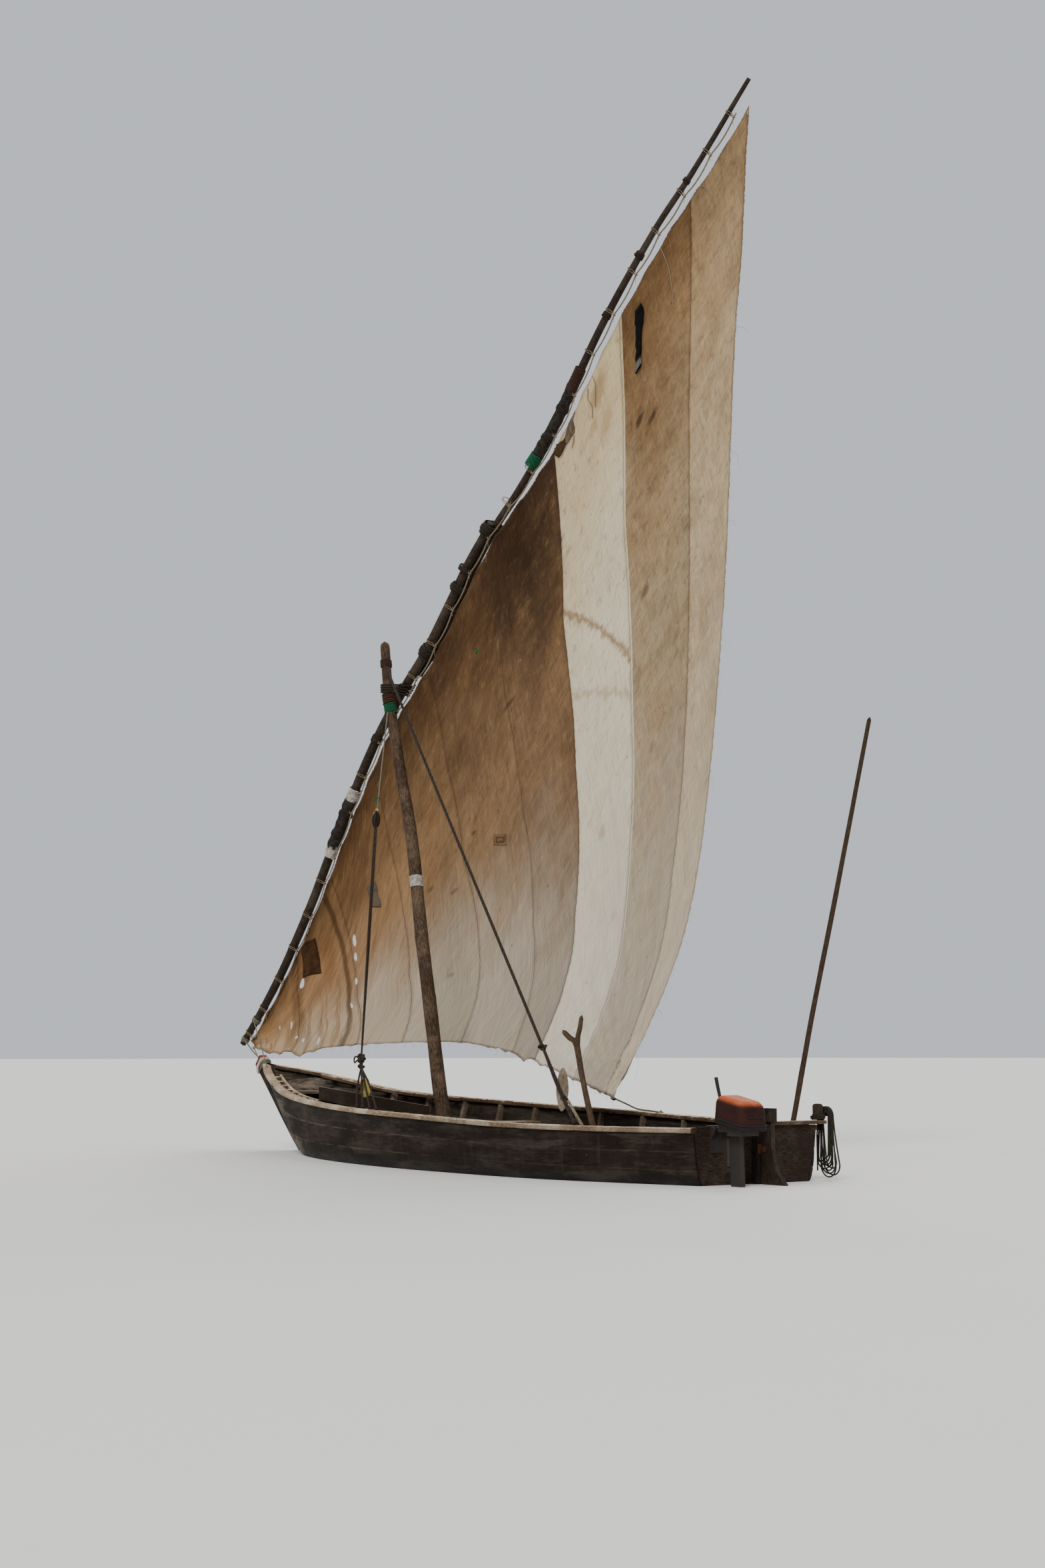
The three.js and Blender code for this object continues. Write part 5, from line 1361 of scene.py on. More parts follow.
def makeBackstay():
    bm = bmesh.new()
    foot, top = railSpot(stays["stayFoot"], 1), metres(*stays["stayTop"])
    low = foot.lerp(top, stays["sideShare"])
    addRope(bm, [foot + vec(0, 0, 0.01), foot.lerp(top, 0.5), top], stays["stayRope"], sides=9,
            spacing=0.013, steps=60, depth=0.22)
    for off in (-stays["sideOut"], stays["sideOut"]):
        addRope(bm, [foot + vec(0, 0.008, 0.012), foot.lerp(low, 0.5) + vec(off, 0.016, off), low],
                stays["sideRope"], sides=7)
    whip = stays["whippings"]
    for k in range(whip["count"]):
        addKnot(bm, foot.lerp(top, whip["first"] + whip["apart"] * k), whip["size"], whip["cord"], 2,
                k * 1.1)
    for share, *knot in stays["stayKnots"]:
        addKnot(bm, foot.lerp(top, share), *knot)
    high, *knot = stays["footKnot"]
    addKnot(bm, foot + vec(0, 0, high), *knot)
    return bm


def makeShroud():
    bm = bmesh.new()
    top, block = metres(*stays["shroudTop"]), metres(*stays["block"])
    addRope(bm, [top, top.lerp(block, 0.5), top.lerp(block, 0.94)], stays["shroudRope"])
    addKnot(bm, top.lerp(block, 0.93), 0.024, 0.008, 3, 2.2)
    return bm


def makeFalls():
    bm = bmesh.new()
    block, knot = metres(*stays["block"]), metres(*stays["knot"])
    start = block.lerp(knot, 0.015)
    for off in (-stays["fallsOut"], stays["fallsOut"]):
        middle = start.lerp(knot, 0.5) + vec(0, off * 0.6, off * 0.6)
        addRope(bm, [start + vec(off, 0, 0), middle, knot], stays["fallRope"], steps=60)
    under = knot - vec(0, 0, stays["underKnot"])
    addKnot(bm, knot, 0.05, 0.015, 4, 0.7)
    addKnot(bm, under, 0.034, 0.014, 3, 2.7)
    addRope(bm, [knot, knot.lerp(under, 0.5), under], 0.022, sides=9, spacing=0.01, steps=20)
    loop = [knot + vec(x, 0.02, z) for x, z in stays["loop"]]
    addRope(bm, loop, 0.009, spacing=0.01)
    for k, x in enumerate(stays["railSpots"]):
        end = railSpot(x, 1) + vec(0, 0, 0.006)
        bowed = under.lerp(end, 0.45) + vec(copysign(0.022, x) if k in (0, 3) else 0, 0, 0.02)
        addRope(bm, [under, bowed, end], stays["fallRope"], steps=30)
        addKnot(bm, end + vec(0, 0, 0.012), *stays["railKnot"], 2, x * 0.01)
    return bm


cordPiece("backstayRope", makeBackstay(), "hempRope", ("backstay",))
cordPiece("shroudRope", makeShroud(), "greyRope", ("shroud",))
cordPiece("tackleFalls", makeFalls(), "hempRope", ("shroud_falls",))
print("rigging made")

# Planking: nine narrow planks a side, with open seams and fastenings

planking = {"planks": 9, "across": 5, "along": 150, "seam": 0.0045, "seamWide": 0.16, "thick": 0.026,
            "wave": 0.0035}


def makePlanking(side):
    bm = bmesh.new()
    uv = bm.loops.layers.uv.new("plankMap")
    plankAt = vertexValues(bm, "plankAt")[0]
    lines = []   # v places: each plank has its seam edges and its face
    for k in range(planking["planks"]):
        edge = planking["seamWide"] / 2
        lines += [(k, part) for part in (0, edge, 0.25, 0.5, 0.75, 1 - edge)]
    lines.append((planking["planks"] - 1, 1))
    us = [i / planking["along"] for i in range(planking["along"] + 1)]
    spots, rise, run = [], [], []
    for i, u in enumerate(us):
        row = []
        for k, part in lines:
            v = 3 * (k + part) / planking["planks"]
            p = hullSpot(u, v, 1)
            a = hullSpot(min(u + 0.01, 1), v, 1) - hullSpot(max(u - 0.01, 0), v, 1)
            b = hullSpot(u, min(v + 0.01, 3), 1) - hullSpot(u, max(v - 0.01, 0), 1)
            out = b.cross(a).normalized()
            inSeam = part == 0 and k > 0
            wave = planking["wave"] * noiseAt(p.x * 1.7, k * 3.1, part * 2)
            p = p - out * (planking["seam"] if inSeam else 0) + out * min(wave, 0.0008)
            row.append(vec(p.x, side * max(p.y, 0), p.z))
        spots.append(row)
    verts = [[bm.verts.new(p) for p in row] for row in spots]
    for i, row in enumerate(verts):
        for j, v in enumerate(row):
            v[plankAt] = lines[j][0] + lines[j][1]
    girth = [[0] for _ in us]
    for i, row in enumerate(spots):
        for a, b in zip(row, row[1:]):
            girth[i].append(girth[i][-1] + (b - a).length)
    for i in range(len(us) - 1):
        for j in range(len(lines) - 1):
            quad = [(i, j), (i + 1, j), (i + 1, j + 1), (i, j + 1)]
            if side < 0:
                quad.reverse()
            face = bm.faces.new([verts[p][q] for p, q in quad])
            face.smooth = True
            for loop, (p, q) in zip(face.loops, quad):
                loop[uv].uv = (spots[p][q].x, girth[p][q])
    bmesh.ops.recalc_face_normals(bm, faces=bm.faces)
    return bm


def plankMaterial():
    spot, flat = startMaterial("tarred planking darkened as in shade")
    plank = layer("plankAt")
    number = figure("FLOOR", plank)
    shifted = joined(number * 3.7, number * 1.3, number)
    source = addNode("VectorMath", {0: flat, 1: shifted}, operation="ADD")[0]
    # near-black grain colours: partly the tar, partly painted shade, darkened to match the hull lying in
    # shadow
    out = useGroup("grain", Vector=source, Stretch=(0.8, 14, 1), Dark=rgb(11, 9, 7), Light=rgb(28, 21, 16),
                   Bleached=rgb(66, 56, 47), Bleaching=0.14, Cracks=0.35, Fineness=4)
    coat(None, out["Color"])
    high = axis(spot, 2)
    tone = clouds(joined(number), 2, 0)
    coat(window(tone, 0.35, 0.7) * 0.4, 48, 33, 25)
    runs = clouds(stretch(spot, (9, 9, 0.5)), 1.6, 5, 0.65)
    coat(window(runs, 0.54, 0.74) * 0.16, 84, 72, 62)
    coat(window(1 - runs, 0.5, 0.7) * 0.5, 13, 10, 8)
    caulk = window(abs(figure("FRACT", plank) - 0.5), 0.44, 0.49)
    broken = window(clouds(stretch(spot, (1.4, 1.4, 6)), 2.2, 5, 0.7), 0.38, 0.62)
    ahead = window(axis(spot, 0), -3, 2.5)
    shown = caulk * broken * (ahead * 0.42 + 0.14)
    coat(shown, 112, 98, 84)
    smears = clouds(stretch(spot, (1.1, 1.1, 2.6)), 1.7, 7, 0.7, 0.8)
    coat(window(smears, 0.4, 0.7) * ahead * 0.42, 70, 62, 50)
    wet = below(high + (clouds(spot, 3, 5, 0.6) - 0.5) * 0.16, 0.03, 0.15)
    coat(wet * 0.75, 20, 22, 18)
    around = addNode("VectorMath", {0: spot, 1: (1.3, 0, 6), 2: (-3.8, 0, -0.8)}, operation="MULTIPLY_ADD")
    near = addNode("VectorMath", {0: around[0]}, operation="LENGTH")["Value"]
    rubbed = near + (clouds(spot, 5, 6, 0.7) - 0.5) * 2.6
    coat(below(rubbed, 0.1, 1.2) * 0.62, 146, 136, 118)
    forward = window(axis(spot, 0), 2.4, 3.6)
    coat(None, stained(stretch(spot, (0.5, 1, 3.2)), pen["coats"], (128, 116, 104), 2.2,
                       forward * 0.6 + 0.12, 0.52)["Color"])
    nails = addNode("TexVoronoi", {"Vector": stretch(flat, (2.7, 5.6, 1)), "Scale": 1, "Randomness": 0.25},
                    feature="F1")["Distance"]
    nail = below(nails, 0.028, 0.045)
    coat(nail * 0.6, 86, 54, 36)
    return complete(out["Height"] + nail * 0.6, 0.004, Roughness=out["Roughness"] - wet * 0.22)


materials["planks"] = plankMaterial()
for side, label, word in ((1, "port", "portPlanking"), (-1, "stbd", "starboardPlanking")):
    made = newPiece(word, makePlanking(side), "hull", "planks",
                    tuple(f"strake_{label}_{k}" for k in (1, 2, 3)))
    thicken(made, "plank", planking["thick"], -1)
print("planking made")

# Long timbers that follow the rails: a sawn bar, cut into short lengths and bent to the sheer

gunwale = {
    "cap": {"out": 0.024, "into": 0.084, "low": 0.0005, "high": 0.055, "edge": 0.01, "rough": 0.0055},
    "inner": {"out": -0.15, "into": 0.184, "low": 0.006, "high": 0.05, "edge": 0.008, "rough": 0.004},
    "innerFrom": 0.682, "innerTo": 0.909, "blocks": 8, "blockLong": 0.06,
    "aft": -4.7995, "stemHalf": 0.0503,
    "joints": [(0.3, 0.012), (0.655, 0.016)],   # scarfs: share from the transom, how deep the groove is
    "notch": {"share": 0.855, "long": 0.012, "deep": 0.02},
}


def sawnBar(name, cuts, finer, edge):
    # a bar from x = 0 to 1 with a unit section, its long edges cut up and rounded
    made = addCube(name, (0.5, 0, 0), (1, 1, 1))
    bpy.ops.object.mode_set(mode="EDIT")

    def lengthways(a, b):
        return abs(a.y - b.y) < 1e-5 and abs(a.z - b.z) < 1e-5

    bpy.ops.mesh.select_mode(type="EDGE")
    pickEdges(made, lengthways)
    bpy.ops.mesh.bevel(offset=edge, segments=2, affect="EDGES")
    for number in (cuts, finer) if finer else (cuts,):
        pickEdges(made, lengthways)
        bpy.ops.mesh.subdivide(number_cuts=number)
    closeMesh()
    made.select_set(False)
    return made


def railFrame(u, side):
    spot = hullSpot(u, 3, side)
    ahead = hullSpot(min(u + 0.004, 1), 3, side) - hullSpot(max(u - 0.004, 0), 3, side)
    return spot, vec(-ahead.y, ahead.x, 0).normalized() * side


def bendToSheer(made, side, bar, first, last, seed, marked=False):
    # y of the bar runs from the inner face to the outer one, z from its underside to its top
    for v in made.data.vertices:
        u = first + (last - first) * v.co.x
        spot, away = railFrame(u, side)
        wide = bar["out"] + bar["into"]
        y = -bar["into"] + wide * (v.co.y + 0.5)
        z = bar["low"] + (bar["high"] - bar["low"]) * (v.co.z + 0.5)
        corner = ease(0.3, 0.5, abs(v.co.y)) * ease(0.3, 0.5, abs(v.co.z))
        at = spot + away * y
        worn = noiseAt(at.x * 7, v.co.y * 2 + seed, v.co.z * 2)
        chip = max(0, noiseAt(at.x * 11, v.co.y * 3, seed * 2 + v.co.z) - 0.15)
        shrink = bar["rough"] * (0.5 + 0.5 * worn) + corner * chip * 0.035
        y -= copysign(shrink, v.co.y) * ease(0.1, 0.5, abs(v.co.y))
        z -= shrink * ease(0, 0.5, v.co.z) * 0.9
        if marked:
            for share, deep in gunwale["joints"]:
                z -= (deep * max(0, 1 - abs(v.co.x - share - v.co.y * 0.012) / 0.0022)
                      * (1 if v.co.z > 0 else 0))
            cut = gunwale["notch"]
            if v.co.y > 0 and abs(v.co.x - cut["share"]) < cut["long"]:
                y -= cut["deep"] * (1 - (abs(v.co.x - cut["share"]) / cut["long"]) ** 2)
        at = spot + away * y
        at.z += z
        at.x = max(at.x, gunwale["aft"])
        at.y = side * max(side * at.y, gunwale["stemHalf"])
        v.co = at
    if side < 0:
        made.data.flip_normals()


def openGunwale(side, name):
    # the inner rail at the bow with the short blocks that hold it off the cap
    pieces = [sawnBar(name, 60, 1, 0.18)]
    bendToSheer(pieces[0], side, gunwale["inner"], gunwale["innerFrom"], gunwale["innerTo"], 2)
    count = gunwale["blocks"]
    for k in range(count):
        share = gunwale["innerFrom"] + (gunwale["innerTo"] - gunwale["innerFrom"]) * (k + 0.5) / count
        block = sawnBar(name + "Block", 3, 0, 0.12)
        half = gunwale["blockLong"] / 2 / 9.5
        bar = {"out": -0.0845, "into": 0.149, "low": 0.01, "high": 0.046, "rough": 0.002}
        bendToSheer(block, side, bar, share - half, share + half, k * 3)
        pieces.append(block)
    return joinPieces(*pieces[1:], pieces[0])


for side, label, word in ((1, "port", "port"), (-1, "stbd", "starboard")):
    cap = sawnBar(word + "CapRail", 99, 2, 0.14)
    bendToSheer(cap, side, gunwale["cap"], 0, 1, 4 + side, marked=True)
    settle(cap, "hull", "rails", ("cap_rail_" + label,), smooth=50)
    inner = openGunwale(side, word + "Inwale")
    settle(inner, "hull", "rails", ("inwale_" + label,), smooth=50)
print("rails made")

# Stern beam, post and peg of weathered timber

sternGear = {"post": {"x": -4.762, "y": -0.846, "half": 0.046, "low": 0.5783, "top": 0.742, "round": 0.032},
             "peg": {"radius": 0.017, "z": 0.631, "from": -0.87, "to": -1.0415}}


def sawnBlock(name, low, high, edge, cuts=6, rough=0.002, seed=0, segments=3):
    # a block of timber between two corners, its edges worn round and its faces uneven
    low, high = Vector(low), Vector(high)
    made = addCube(name, (low + high) / 2, high - low)
    openMesh()
    bpy.ops.mesh.bevel(offset=edge, segments=segments, affect="EDGES")
    bpy.ops.mesh.select_all(action="SELECT")
    bpy.ops.mesh.subdivide(number_cuts=cuts)
    bpy.ops.mesh.normals_make_consistent(inside=False)
    closeMesh()
    made.select_set(False)
    middle = (low + high) / 2
    for v in made.data.vertices:
        dent = noise.noise(v.co * 9 + vec(seed, seed, 0)) + 0.5 * noise.noise(v.co * 31)
        v.co -= (v.co - middle).normalized() * rough * (0.5 + dent)
    return made


gear = sternGear["post"]
post = sawnBlock("sternPost", (gear["x"] - gear["half"], gear["y"] - gear["half"], gear["low"]),
                 (gear["x"] + gear["half"], gear["y"] + gear["half"], gear["top"]), gear["round"], 3, 0.004,
                 5, 4)
gear = sternGear["peg"]
clearSelection()
bpy.ops.mesh.primitive_cylinder_add(vertices=20, radius=gear["radius"], depth=gear["from"] - gear["to"],
                                    location=(sternGear["post"]["x"], (gear["from"] + gear["to"]) / 2,
                                              gear["z"]),
                                    rotation=(pi / 2, 0, 0))
peg = sized("peg", (1, 1, 1))
roundEdges(0.005, 3)
joinPieces(peg, post)
settle(post, "hull", "upright", ("bollard",))
print("stern gear made")
# Coiled lines: each is one rope that starts at its exit and hangs over a peg in loops

hank = {"x": -4.762, "rope": 0.016, "pitch": 0.0168, "columns": 2, "layers": 4, "top": (0.6204, 0.0356),
        "bottom": (0.235, 0.044),
        "spread": 1.35, "sag": 0.012, "first": -0.934, "tail": 0.36, "sway": 0.085, "uneven": 0.01,
        "lean": 0.02, "fan": 2.2, "name": "ropeHank",
        "look": "hankRope", "hides": ("rope_hank",)}
yellowCoil = {"x": 0.225, "rope": 0.011, "pitch": 0.0118, "columns": 3, "layers": 3, "top": (0.9, 0.026),
              "bottom": (0.83, 0.034),
              "spread": 1.2, "sag": 0.007, "first": 1.285, "tail": 0.1, "sway": 0.014, "uneven": 0.004,
              "lean": -0.005, "fan": 0.25,
              "name": "yellowCoil", "look": "yellowRope"}


def loopSpot(coil, turn, y, layer):
    # a place on a hanging loop: turn 0 is its top; higher layers lie outside and hang lower
    out = layer * coil["pitch"]
    topZ, lowZ = coil["top"][0], coil["bottom"][0] - layer * coil["sag"]
    lowZ += coil["sway"] * noiseAt(y * 38, 3, 1) + coil["uneven"] * noiseAt(layer * 3.7, 2, 5)
    lean = coil["lean"] + coil["fan"] * (y - coil["first"]) + coil["sway"] * 0.6 * noiseAt(y * 31, 8, 4)
    topR, lowR = coil["top"][1] + out, coil["bottom"][1] + out * coil["spread"]
    gap = topZ - lowZ
    slant = asin((lowR - topR) / gap)   # the straight sides spread a little downwards
    side = sqrt(gap ** 2 - (lowR - topR) ** 2)
    arcs = [topR * (pi / 2 + slant), side, lowR * (pi / 2 - slant)]
    far, half = (turn % 1) * 2 * sum(arcs), sum(arcs)
    hand, far = (1, far) if far < half else (-1, 2 * half - far)
    if far < arcs[0]:
        x, z = topR * sin(far / topR), topZ + topR * cos(far / topR)
    elif far < arcs[0] + side:
        a, t = pi / 2 + slant, (far - arcs[0]) / side
        r = topR + (lowR - topR) * t
        x, z = r * sin(a), topZ - gap * t + r * cos(a)
    else:
        a = pi / 2 + slant + (far - arcs[0] - side) / lowR
        x, z = lowR * sin(a), lowZ + lowR * cos(a)
    drop = max(0, topZ - z) / gap
    return vec(coil["x"] + hand * x + lean * drop ** 1.5, y, z)


def coilPath(coil):
    pitch, columns, steps = coil["pitch"], coil["columns"], 40
    z = coil["top"][0] + coil["top"][1]
    bend = 0.036
    points = [vec(coil["x"] - bend, coil["first"] + bend + 0.006, z)]
    for k in range(8):   # a quarter bend from the exit into the first loop
        a = pi / 2 * k / 8
        points.append(vec(coil["x"] - bend * cos(a), coil["first"] + bend * (1 - sin(a)), z))
    whole = coil["layers"] * (columns + 1) - 1
    for i in range(whole * steps + 1):
        # each layer runs out or back, then steps over the last one
        layer, turn = divmod(i / steps, columns + 1)
        across = min(turn, columns)
        place = across if layer % 2 == 0 else columns - across
        points.append(loopSpot(coil, turn, coil["first"] - pitch * place,
                               layer + ease(0, 0.14, turn - columns)))
    outer, y = coil["layers"] - 1, points[-1].y
    for k in range(1, 11):   # the end comes off the top and down the side
        points.append(loopSpot(coil, k / 10 * 0.22, y + pitch * k / 10 * 0.22, outer))
    down = points[-1] - points[-2]
    spot = points[-1]
    for k in range(1, 11):
        spot = spot + vec(down.x * max(0, 1 - k / 4), 0.0004, -1).normalized() * coil["tail"] / 10
        points.append(spot)
    return points


for coil in (hank, yellowCoil):
    path = coilPath(coil)
    bm = bmesh.new()
    line = addRope(bm, path, coil["rope"] / 2, spacing=0.011, steps=len(path) * 4, depth=0.12)
    made = cordPiece(coil["name"], bm, coil["look"], coil.get("hides", ()))
    coil["exit"] = path[0]
    print(coil["name"], "made", round(line.length, 2))

# Yard: cloth sleeves over its joints, rope lashings where two spars lie side by side

yardSleeves = [
    {"name": "lowerSleeve", "from": 0.226, "to": 0.288, "out": 0.026, "look": "tarredCloth"},
    {"name": "upperSplint", "from": 0.652, "to": 0.728, "out": 0.022, "look": "tarredCloth"},
]
yardTurns = [   # more cord round the yard: share, length, stand-off, cord radius, finish
    (0.245, 0.05, 0.024, 0.006, "hempRope"), (0.266, 0.04, 0.026, 0.006, "hempRope"),
    (0.345, 0.09, 0, 0.008, "hempRope"), (0.53, 0.06, 0.03, 0.007, "hempRope"),
    (0.672, 0.05, 0.018, 0.006, "hempRope"), (0.7, 0.05, 0.02, 0.006, "hempRope"),
    (0.785, 0.06, 0.002, 0.006, "hempRope"), (0.84, 0.07, 0.004, 0.008, "hempRope"),
    (0.91, 0.05, 0.002, 0.006, "hempRope"),
]
pairLashings = [
    {"name": "lashingLow", "x": 1.37, "z": 6.08, "side": 0.105, "long": 0.15, "hides": ("yard_lashing_1",)},
    {"name": "lashingMiddle", "x": 0.76, "z": 6.77, "side": 0.102, "long": 0.1},
    {"name": "lashingHigh", "x": 0.18, "z": 7.38, "side": 0.093, "long": 0.15,
     "hides": ("yard_lashing_2",)},
]

for part in yardSleeves:
    first, last = part["from"] * yardLine.length, part["to"] * yardLine.length
    line = SmoothLine([yardLine.at(part["from"] + (part["to"] - part["from"]) * i / 8) for i in range(9)],
                      80)

    def wrapped(share, angle, part=part):
        ends = ease(0, 0.1, min(share, 1 - share))
        folds = noiseAt(cos(angle) * 1.5, sin(angle) * 1.5, share * 14)
        ridge = 0.5 + 0.5 * cos(angle * 2 + share * 40)
        return (sparRadius(part["from"] + (part["to"] - part["from"]) * share) + 0.003
                + ends * (part["out"] * (0.75 + 0.5 * folds) + 0.003 * ridge))
    bm = bmesh.new()
    sweep(bm, line, wrapped, 28, 0.012)
    yardCord(part["name"], bm, part["look"])

for look in sorted({row[4] for row in yardTurns}):
    bm = bmesh.new()
    for share, long, out, rope, kind in yardTurns:
        if kind == look:
            turnsRound(bm, yardLine, share, long, lambda at, out=out: sparRadius(at) + out, rope,
                       seed=share * 50)
            addKnot(bm, yardLine.at(share) + vec(0, 1, 0) * (sparRadius(share) + out + 0.012), 0.016,
                    rope * 0.8, 2, share * 30)
    yardCord("yardCords", bm, look)


def pairTurns(bm, ends, radii, along, long, rope, seed=0, sides=7):
    # cord wound round two bars that lie side by side: ends(far) gives the two centres
    turns = max(3, round(long / (rope * 2.05)))
    points = []
    for i in range(turns * 16 + 1):
        far = long * (i / (turns * 16) - 0.5)
        a, b = ends(far)
        across = (b - a).normalized()
        flat = across.cross(along).normalized()
        angle = 2 * pi * (i % 16 + 0.5) / 16
        wild = 1 + 0.05 * noiseAt(i * 0.17, seed, 0)
        middle, r = (b, radii[1]) if cos(angle) > 0 else (a, radii[0])
        points.append(middle + (across * cos(angle) + flat * sin(angle)) * (r + rope) * wild)
    addRope(bm, points, rope, sides=sides, spacing=rope * 2, steps=len(points) * 3)


for part in pairLashings:
    bm = bmesh.new()
    share = min((i / 400 for i in range(401)), key=lambda s: abs(yardLine.at(s).x - part["x"]))
    along = yardLine.heading(share)
    base = vec(part["x"], yardSide(part["x"] * 1000) / 1000, part["z"])

    def pair(far, base=base, along=along, part=part):
        return base + along * far, base + along * far + vec(0, -part["side"], 0)
    pairTurns(bm, pair, (0.062, 0.056), along, part["long"], 0.011, part["x"])
    pairTurns(bm, pair, (0.074, 0.068), along, part["long"] * 0.45, 0.01, part["z"])
    yardCord(part["name"], bm, "hempRope", part.get("hides", ()))

# The turns that hold the yard to the mast head and slide round the mast as the yard swings

parrelRope = {"z": 5.655, "long": 0.115, "rope": 0.013, "radii": (0.079, 0.1), "axis": 1.83}
bm = bmesh.new()


def mastAndYard(far):
    z = parrelRope["z"] + far
    share = min((0.3 + 0.15 * i / 200 for i in range(201)), key=lambda s: abs(yardLine.at(s).z - z))
    return vec(parrelRope["axis"], 0, z), yardLine.at(share)


pairTurns(bm, mastAndYard, parrelRope["radii"], vec(0, 0, 1), parrelRope["long"], parrelRope["rope"], 4, 8)
for k in range(4):
    addKnot(bm, vec(1.85 - 0.05 * k, -0.1 - 0.02 * k, 5.6 + 0.045 * k), 0.034, 0.011, 3, k * 1.3)
yardCord("parrelTurns", bm, "hempRope", ("parrel",))
print("yard lashed")

# Halyard block: an oval wooden shell with a sheave slot, grooved for its strop

pulley = {
    "half": (0.05, 0.036, 0.115), "slot": (0.02, 0.12, 0.105), "grooveHalf": 0.011, "groove": 0.1,
    "sheave": 0.036, "sheaveWide": 0.018, "strop": (0.12, 0.05), "stropRope": 0.007,
    "knots": [   # name, finish, height over the middle, size, seed
        ("blockKnotYellow", "yellowRope", 0.125, 0.022, 1), ("blockKnotGreen", "greenRope", 0.3, 0.018, 4),
    ],
}


def makePulley():
    centre = metres(*stays["block"])
    lean = (metres(*stays["shroudTop"]) - metres(*stays["knot"])).to_track_quat("Z", "Y")
    clearSelection()
    bpy.ops.mesh.primitive_uv_sphere_add(segments=40, ring_count=24, radius=1)
    shell = sized("halyardBlock", pulley["half"])
    for v in shell.data.vertices:   # a groove down the two sides for the strop
        beside = max(0, 1 - abs(v.co.y) / pulley["grooveHalf"])
        if abs(v.co.x) > pulley["half"][0] * 0.3 or abs(v.co.z) > pulley["half"][2] * 0.7:
            v.co *= 1 - pulley["groove"] * beside
    slot = addCube("slot", (0, 0, 0), pulley["slot"])
    cut = shell.modifiers.new("sheave slot", "BOOLEAN")
    cut.operation, cut.object, cut.solver = "DIFFERENCE", slot, "EXACT"
    applyAll(shell)
    bpy.data.objects.remove(slot)
    clearSelection()
    bpy.ops.mesh.primitive_cylinder_add(vertices=32, radius=pulley["sheave"], depth=pulley["sheaveWide"],
                                        rotation=(0, pi / 2, 0))
    wheel = sized("wheel", (1, 1, 1))
    roundEdges(0.003, 2)
    joinPieces(wheel, shell)
    for v in shell.data.vertices:
        v.co = lean @ v.co + centre
    return settle(shell, "hull", "block", ("shroud_block",), smooth=45)


makePulley()
bm = bmesh.new()
centre = metres(*stays["block"])
rise = (metres(*stays["shroudTop"]) - metres(*stays["knot"])).normalized()
flat = rise.cross(rise.orthogonal().normalized())
high, wide = pulley["strop"]
strop = [centre + rise * high * cos(a) + flat * wide * sin(a) for a in [2 * pi * i / 20 for i in range(21)]]
addRope(bm, strop, pulley["stropRope"], sides=7, spacing=0.01, steps=160)
cordPiece("blockStrop", bm, "hempRope")
for name, look, high, size, seed in pulley["knots"]:
    bm = bmesh.new()
    start = centre + rise * high
    addKnot(bm, start, size, 0.006, 3, seed)
    for k in range(2):
        ends = [start, start + vec(0.02 - 0.05 * k, 0.03, -0.03),
                start + vec(0.03 - 0.07 * k, 0.035, -0.11)]
        addRope(bm, ends, 0.004, sides=6, spacing=0.01, steps=30)
    cordPiece(name, bm, look)
print("block made")

# Knots where the yellow coil hangs from the falls

bm = bmesh.new()
addKnot(bm, yellowCoil["exit"], 0.018, 0.0065, 3, 2)
addKnot(bm, yellowCoil["exit"] + vec(0.036, -0.05, 0.03), 0.022, 0.0075, 3, 0.8)
cordPiece("coilKnots", bm, "redRope")

# Bow: rags and cord wrapped round the stem head, and the lines that hold the yard's heel down

stemHead = {"foot": (4.79, 0, 1.04), "lean": (0.742, 0, 0.671), "centre": 0.0225, "half": (0.086, 0.052)}


def wrapStem(bm, first, last, rope, seed=0, out=0, head=stemHead):
    # turns round a timber of square section
    lean = Vector(head["lean"]).normalized()
    front = vec(lean.z, 0, -lean.x)
    base = Vector(head["foot"]) + front * head["centre"]
    turns = max(2, round((last - first) / (rope * 1.9)))
    points = []
    for i in range(turns * 20 + 1):
        a = 2 * pi * i / 20
        wild = 1 + 0.06 * noiseAt(i * 0.3, seed, 1)
        u = copysign(abs(cos(a)) ** 0.45, cos(a)) * (head["half"][0] + rope + out) * wild
        v = copysign(abs(sin(a)) ** 0.45, sin(a)) * (head["half"][1] + rope + out) * wild
        points.append(base + lean * (first + (last - first) * i / (turns * 20)) + front * u + vec(0, v, 0))
    addRope(bm, points, rope, spacing=rope * 1.6, steps=len(points) * 3)
    return points


postFoot = {"foot": (-4.762, -0.846, 0.5783), "lean": (0, 0, 1), "centre": 0, "half": (0.041, 0.041)}
bm = bmesh.new()
wrapStem(bm, 0.008, 0.062, 0.006, 2, 0, postFoot)
wrapStem(bm, 0.014, 0.05, 0.006, 9, 0.011, postFoot)
cordPiece("postTurns", bm, "hankRope")
bm = bmesh.new()
wrapStem(bm, 0, 0.05, 0.008, 1)
wrapStem(bm, 0.03, 0.055, 0.008, 5, 0.012)
cordPiece("stemCord", bm, "greyRope")
bm = bmesh.new()
ends = wrapStem(bm, 0.058, 0.108, 0.013, 3)
for k, (dx, dy, dz) in enumerate(((0.03, 0.03, -0.16), (-0.04, 0.04, -0.12))):
    start = ends[6 + 9 * k]
    line = SmoothLine([start, start + vec(dx * 0.4, dy, dz * 0.3), start + vec(dx, dy * 0.8, dz)], 20)
    sweep(bm, line, lambda share, angle: 0.014 * (1 - 0.5 * share) * (1 + 0.25 * cos(3 * angle)), 8, 0.012,
          squash=0.35)
cordPiece("stemRags", bm, "cloth")
bm = bmesh.new()
wrapStem(bm, 0.112, 0.13, 0.008, 7, -0.004)
cordPiece("stemRedRag", bm, "redCloth")


